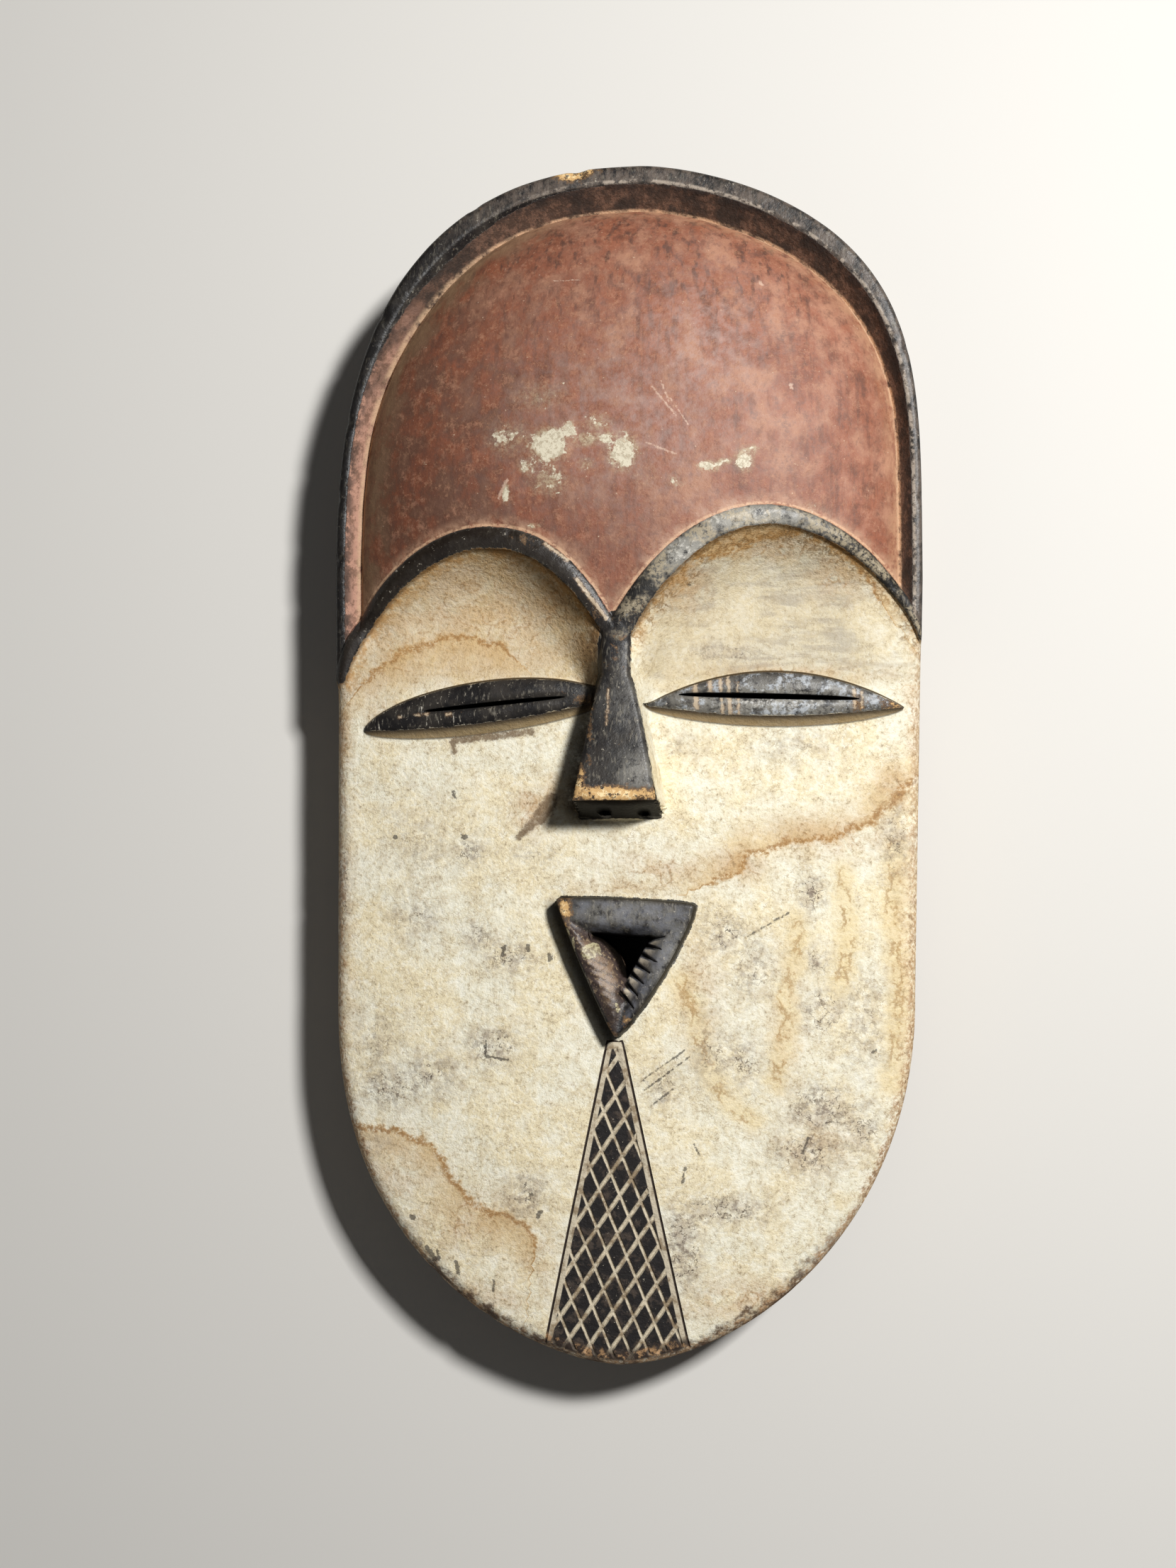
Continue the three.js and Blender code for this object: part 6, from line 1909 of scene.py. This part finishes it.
scored = line_share(FALLING, 1.1).math("MAXIMUM", line_share(RISING, 1.5))
border = mark("panel").step(PANEL_BORDER + 0.1, PANEL_BORDER - 0.2)
scraped = layered(srgb(198, 186, 162), ((146, 128, 102), mottle.step(0.46, 0.62)))
foot = (mark("inset") + (mottle - 0.5) * 6.0).step(6.5, 4.0)
foot_colour = layered(srgb(58, 46, 38), ((176, 138, 98), edge_noise.step(0.5, 0.6)))
panel_colour = layered(
    srgb(25, 21, 20),
    ((66, 56, 48), mottle.step(0.5, 0.64)),
    ((190, 180, 160), speck.step(0.66, 0.72) * 0.8),
    (scraped, scored.math("MAXIMUM", border)),
    # The framing cut, and the worn foot of the panel at the chin.
    ((44, 32, 24), mark("panel").math("ABSOLUTE").step(0.5, 0.25)),
    (foot_colour, foot * 0.9),
)
panel_share = mark("panel").step(-0.45, -0.3) * mark("inset").step(1.0, 2.5) * mark("mouth").step(1.6, 1.9)
painted = blend(painted, panel_colour, panel_share)
print("nodes in the paint:", len(shade.nodes))

# %% [markdown]
# ### Sides, back and shine
# The paint stops partway down the sides, and the back is bare brown wood.

# %% Sides, back and shine
BASE_ROUGHNESS, BUMP_HEIGHT, BUMP_STRENGTH = 0.68, 0.7 * MM, 0.7
side_share = (mark("down") + (grain(7, 4.0, seed=51.0) - 0.5) * 10.0).step(14.0, 18.0)
painted = blend(painted, wood, side_share)
on_paint = side_share.step(1.0, 0.0)
shine = black_share * mark("wear").step(0.6, 0.2) * on_paint
polish = mark("above") * mark("valley").step(0.0, 2.0) * on_paint
band_matt = mark("band").step(0.5, -0.5) * 0.16
roughness = shine * -0.34 + polish * -0.2 + speck * 0.2 + band_matt + BASE_ROUGHNESS
smoothed = black_share.math("MAXIMUM", polish) * -0.6 + 1.0

surface = shade.nodes.new("ShaderNodeBsdfPrincipled")
plug(shade, painted, surface.inputs["Base Color"])
plug(shade, roughness, surface.inputs["Roughness"])
plug(shade, mark("steep").step(0.3, 0.7, 0.4, 0.03), surface.inputs["Specular IOR Level"])
bump = shade.nodes.new("ShaderNodeBump")
bump.inputs["Distance"].default_value = BUMP_HEIGHT
bump.inputs["Strength"].default_value = BUMP_STRENGTH
plug(shade, (speck * 0.8 + mottle) * smoothed, bump.inputs["Height"])
shade.links.new(bump.outputs[0], surface.inputs["Normal"])
result = shade.nodes.new("ShaderNodeOutputMaterial")
shade.links.new(surface.outputs[0], result.inputs["Surface"])

cut_marks(mask, material)
print("cut mesh:", len(mask.data.polygons), "triangles, nodes in the paint:", len(shade.nodes))

# %% [markdown]
# ## Floor and light
# A pale floor, one small softbox high on the upper right that draws the carving, a wide weak fill from
# the lower left, and a faint even light all round.

# %% Floor and light
FLOOR_SIZE, FLOOR_Z = 6, -0.6 * MM
KEY_PLACE, KEY_SIZE, KEY_POWER = (0.52, 0.34, 0.98), 0.13, 17.5
FILL_PLACE, FILL_SIZE, FILL_POWER = (-0.9, -0.5, 1.2), 1.2, 0.8
ROOM_LIGHT = 0.04


def make_floor():
    bpy.ops.mesh.primitive_plane_add(size=FLOOR_SIZE, location=(0, 0, FLOOR_Z))
    floor = bpy.context.object
    floor.name = "floor"
    paper = bpy.data.materials.new("paper")
    paper.use_nodes = True
    skin = paper.node_tree.nodes["Principled BSDF"]
    skin.inputs["Base Color"].default_value = srgb(214, 211, 205)
    skin.inputs["Roughness"].default_value = 0.9
    floor.data.materials.append(paper)
    return floor


def make_light(name, place, size, power):
    lamp = bpy.data.lights.new(name, "AREA")
    lamp.size = size
    lamp.energy = power
    light = bpy.data.objects.new(name, lamp)
    light.location = place
    light.rotation_euler = (Vector(place) - CAMERA_TARGET).to_track_quat("Z", "Y").to_euler()
    bpy.context.scene.collection.objects.link(light)
    return light


def make_room():
    world = bpy.data.worlds.new("room")
    world.use_nodes = True
    background = world.node_tree.nodes["Background"]
    background.inputs["Color"].default_value = (1, 1, 1, 1)
    background.inputs["Strength"].default_value = ROOM_LIGHT
    bpy.context.scene.world = world
    bpy.context.scene.view_settings.view_transform = "Standard"


floor = make_floor()
make_light("key", KEY_PLACE, KEY_SIZE, KEY_POWER)
make_light("fill", FILL_PLACE, FILL_SIZE, FILL_POWER)
make_room()
print("lights, W:", KEY_POWER, FILL_POWER)

# %% [markdown]
# ## Tie the piece to the frame
# The mask is one body, so the one piece rides on the root and stands in for the CAD's mask.

# %% Finish
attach(mask, "root")
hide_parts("mask")
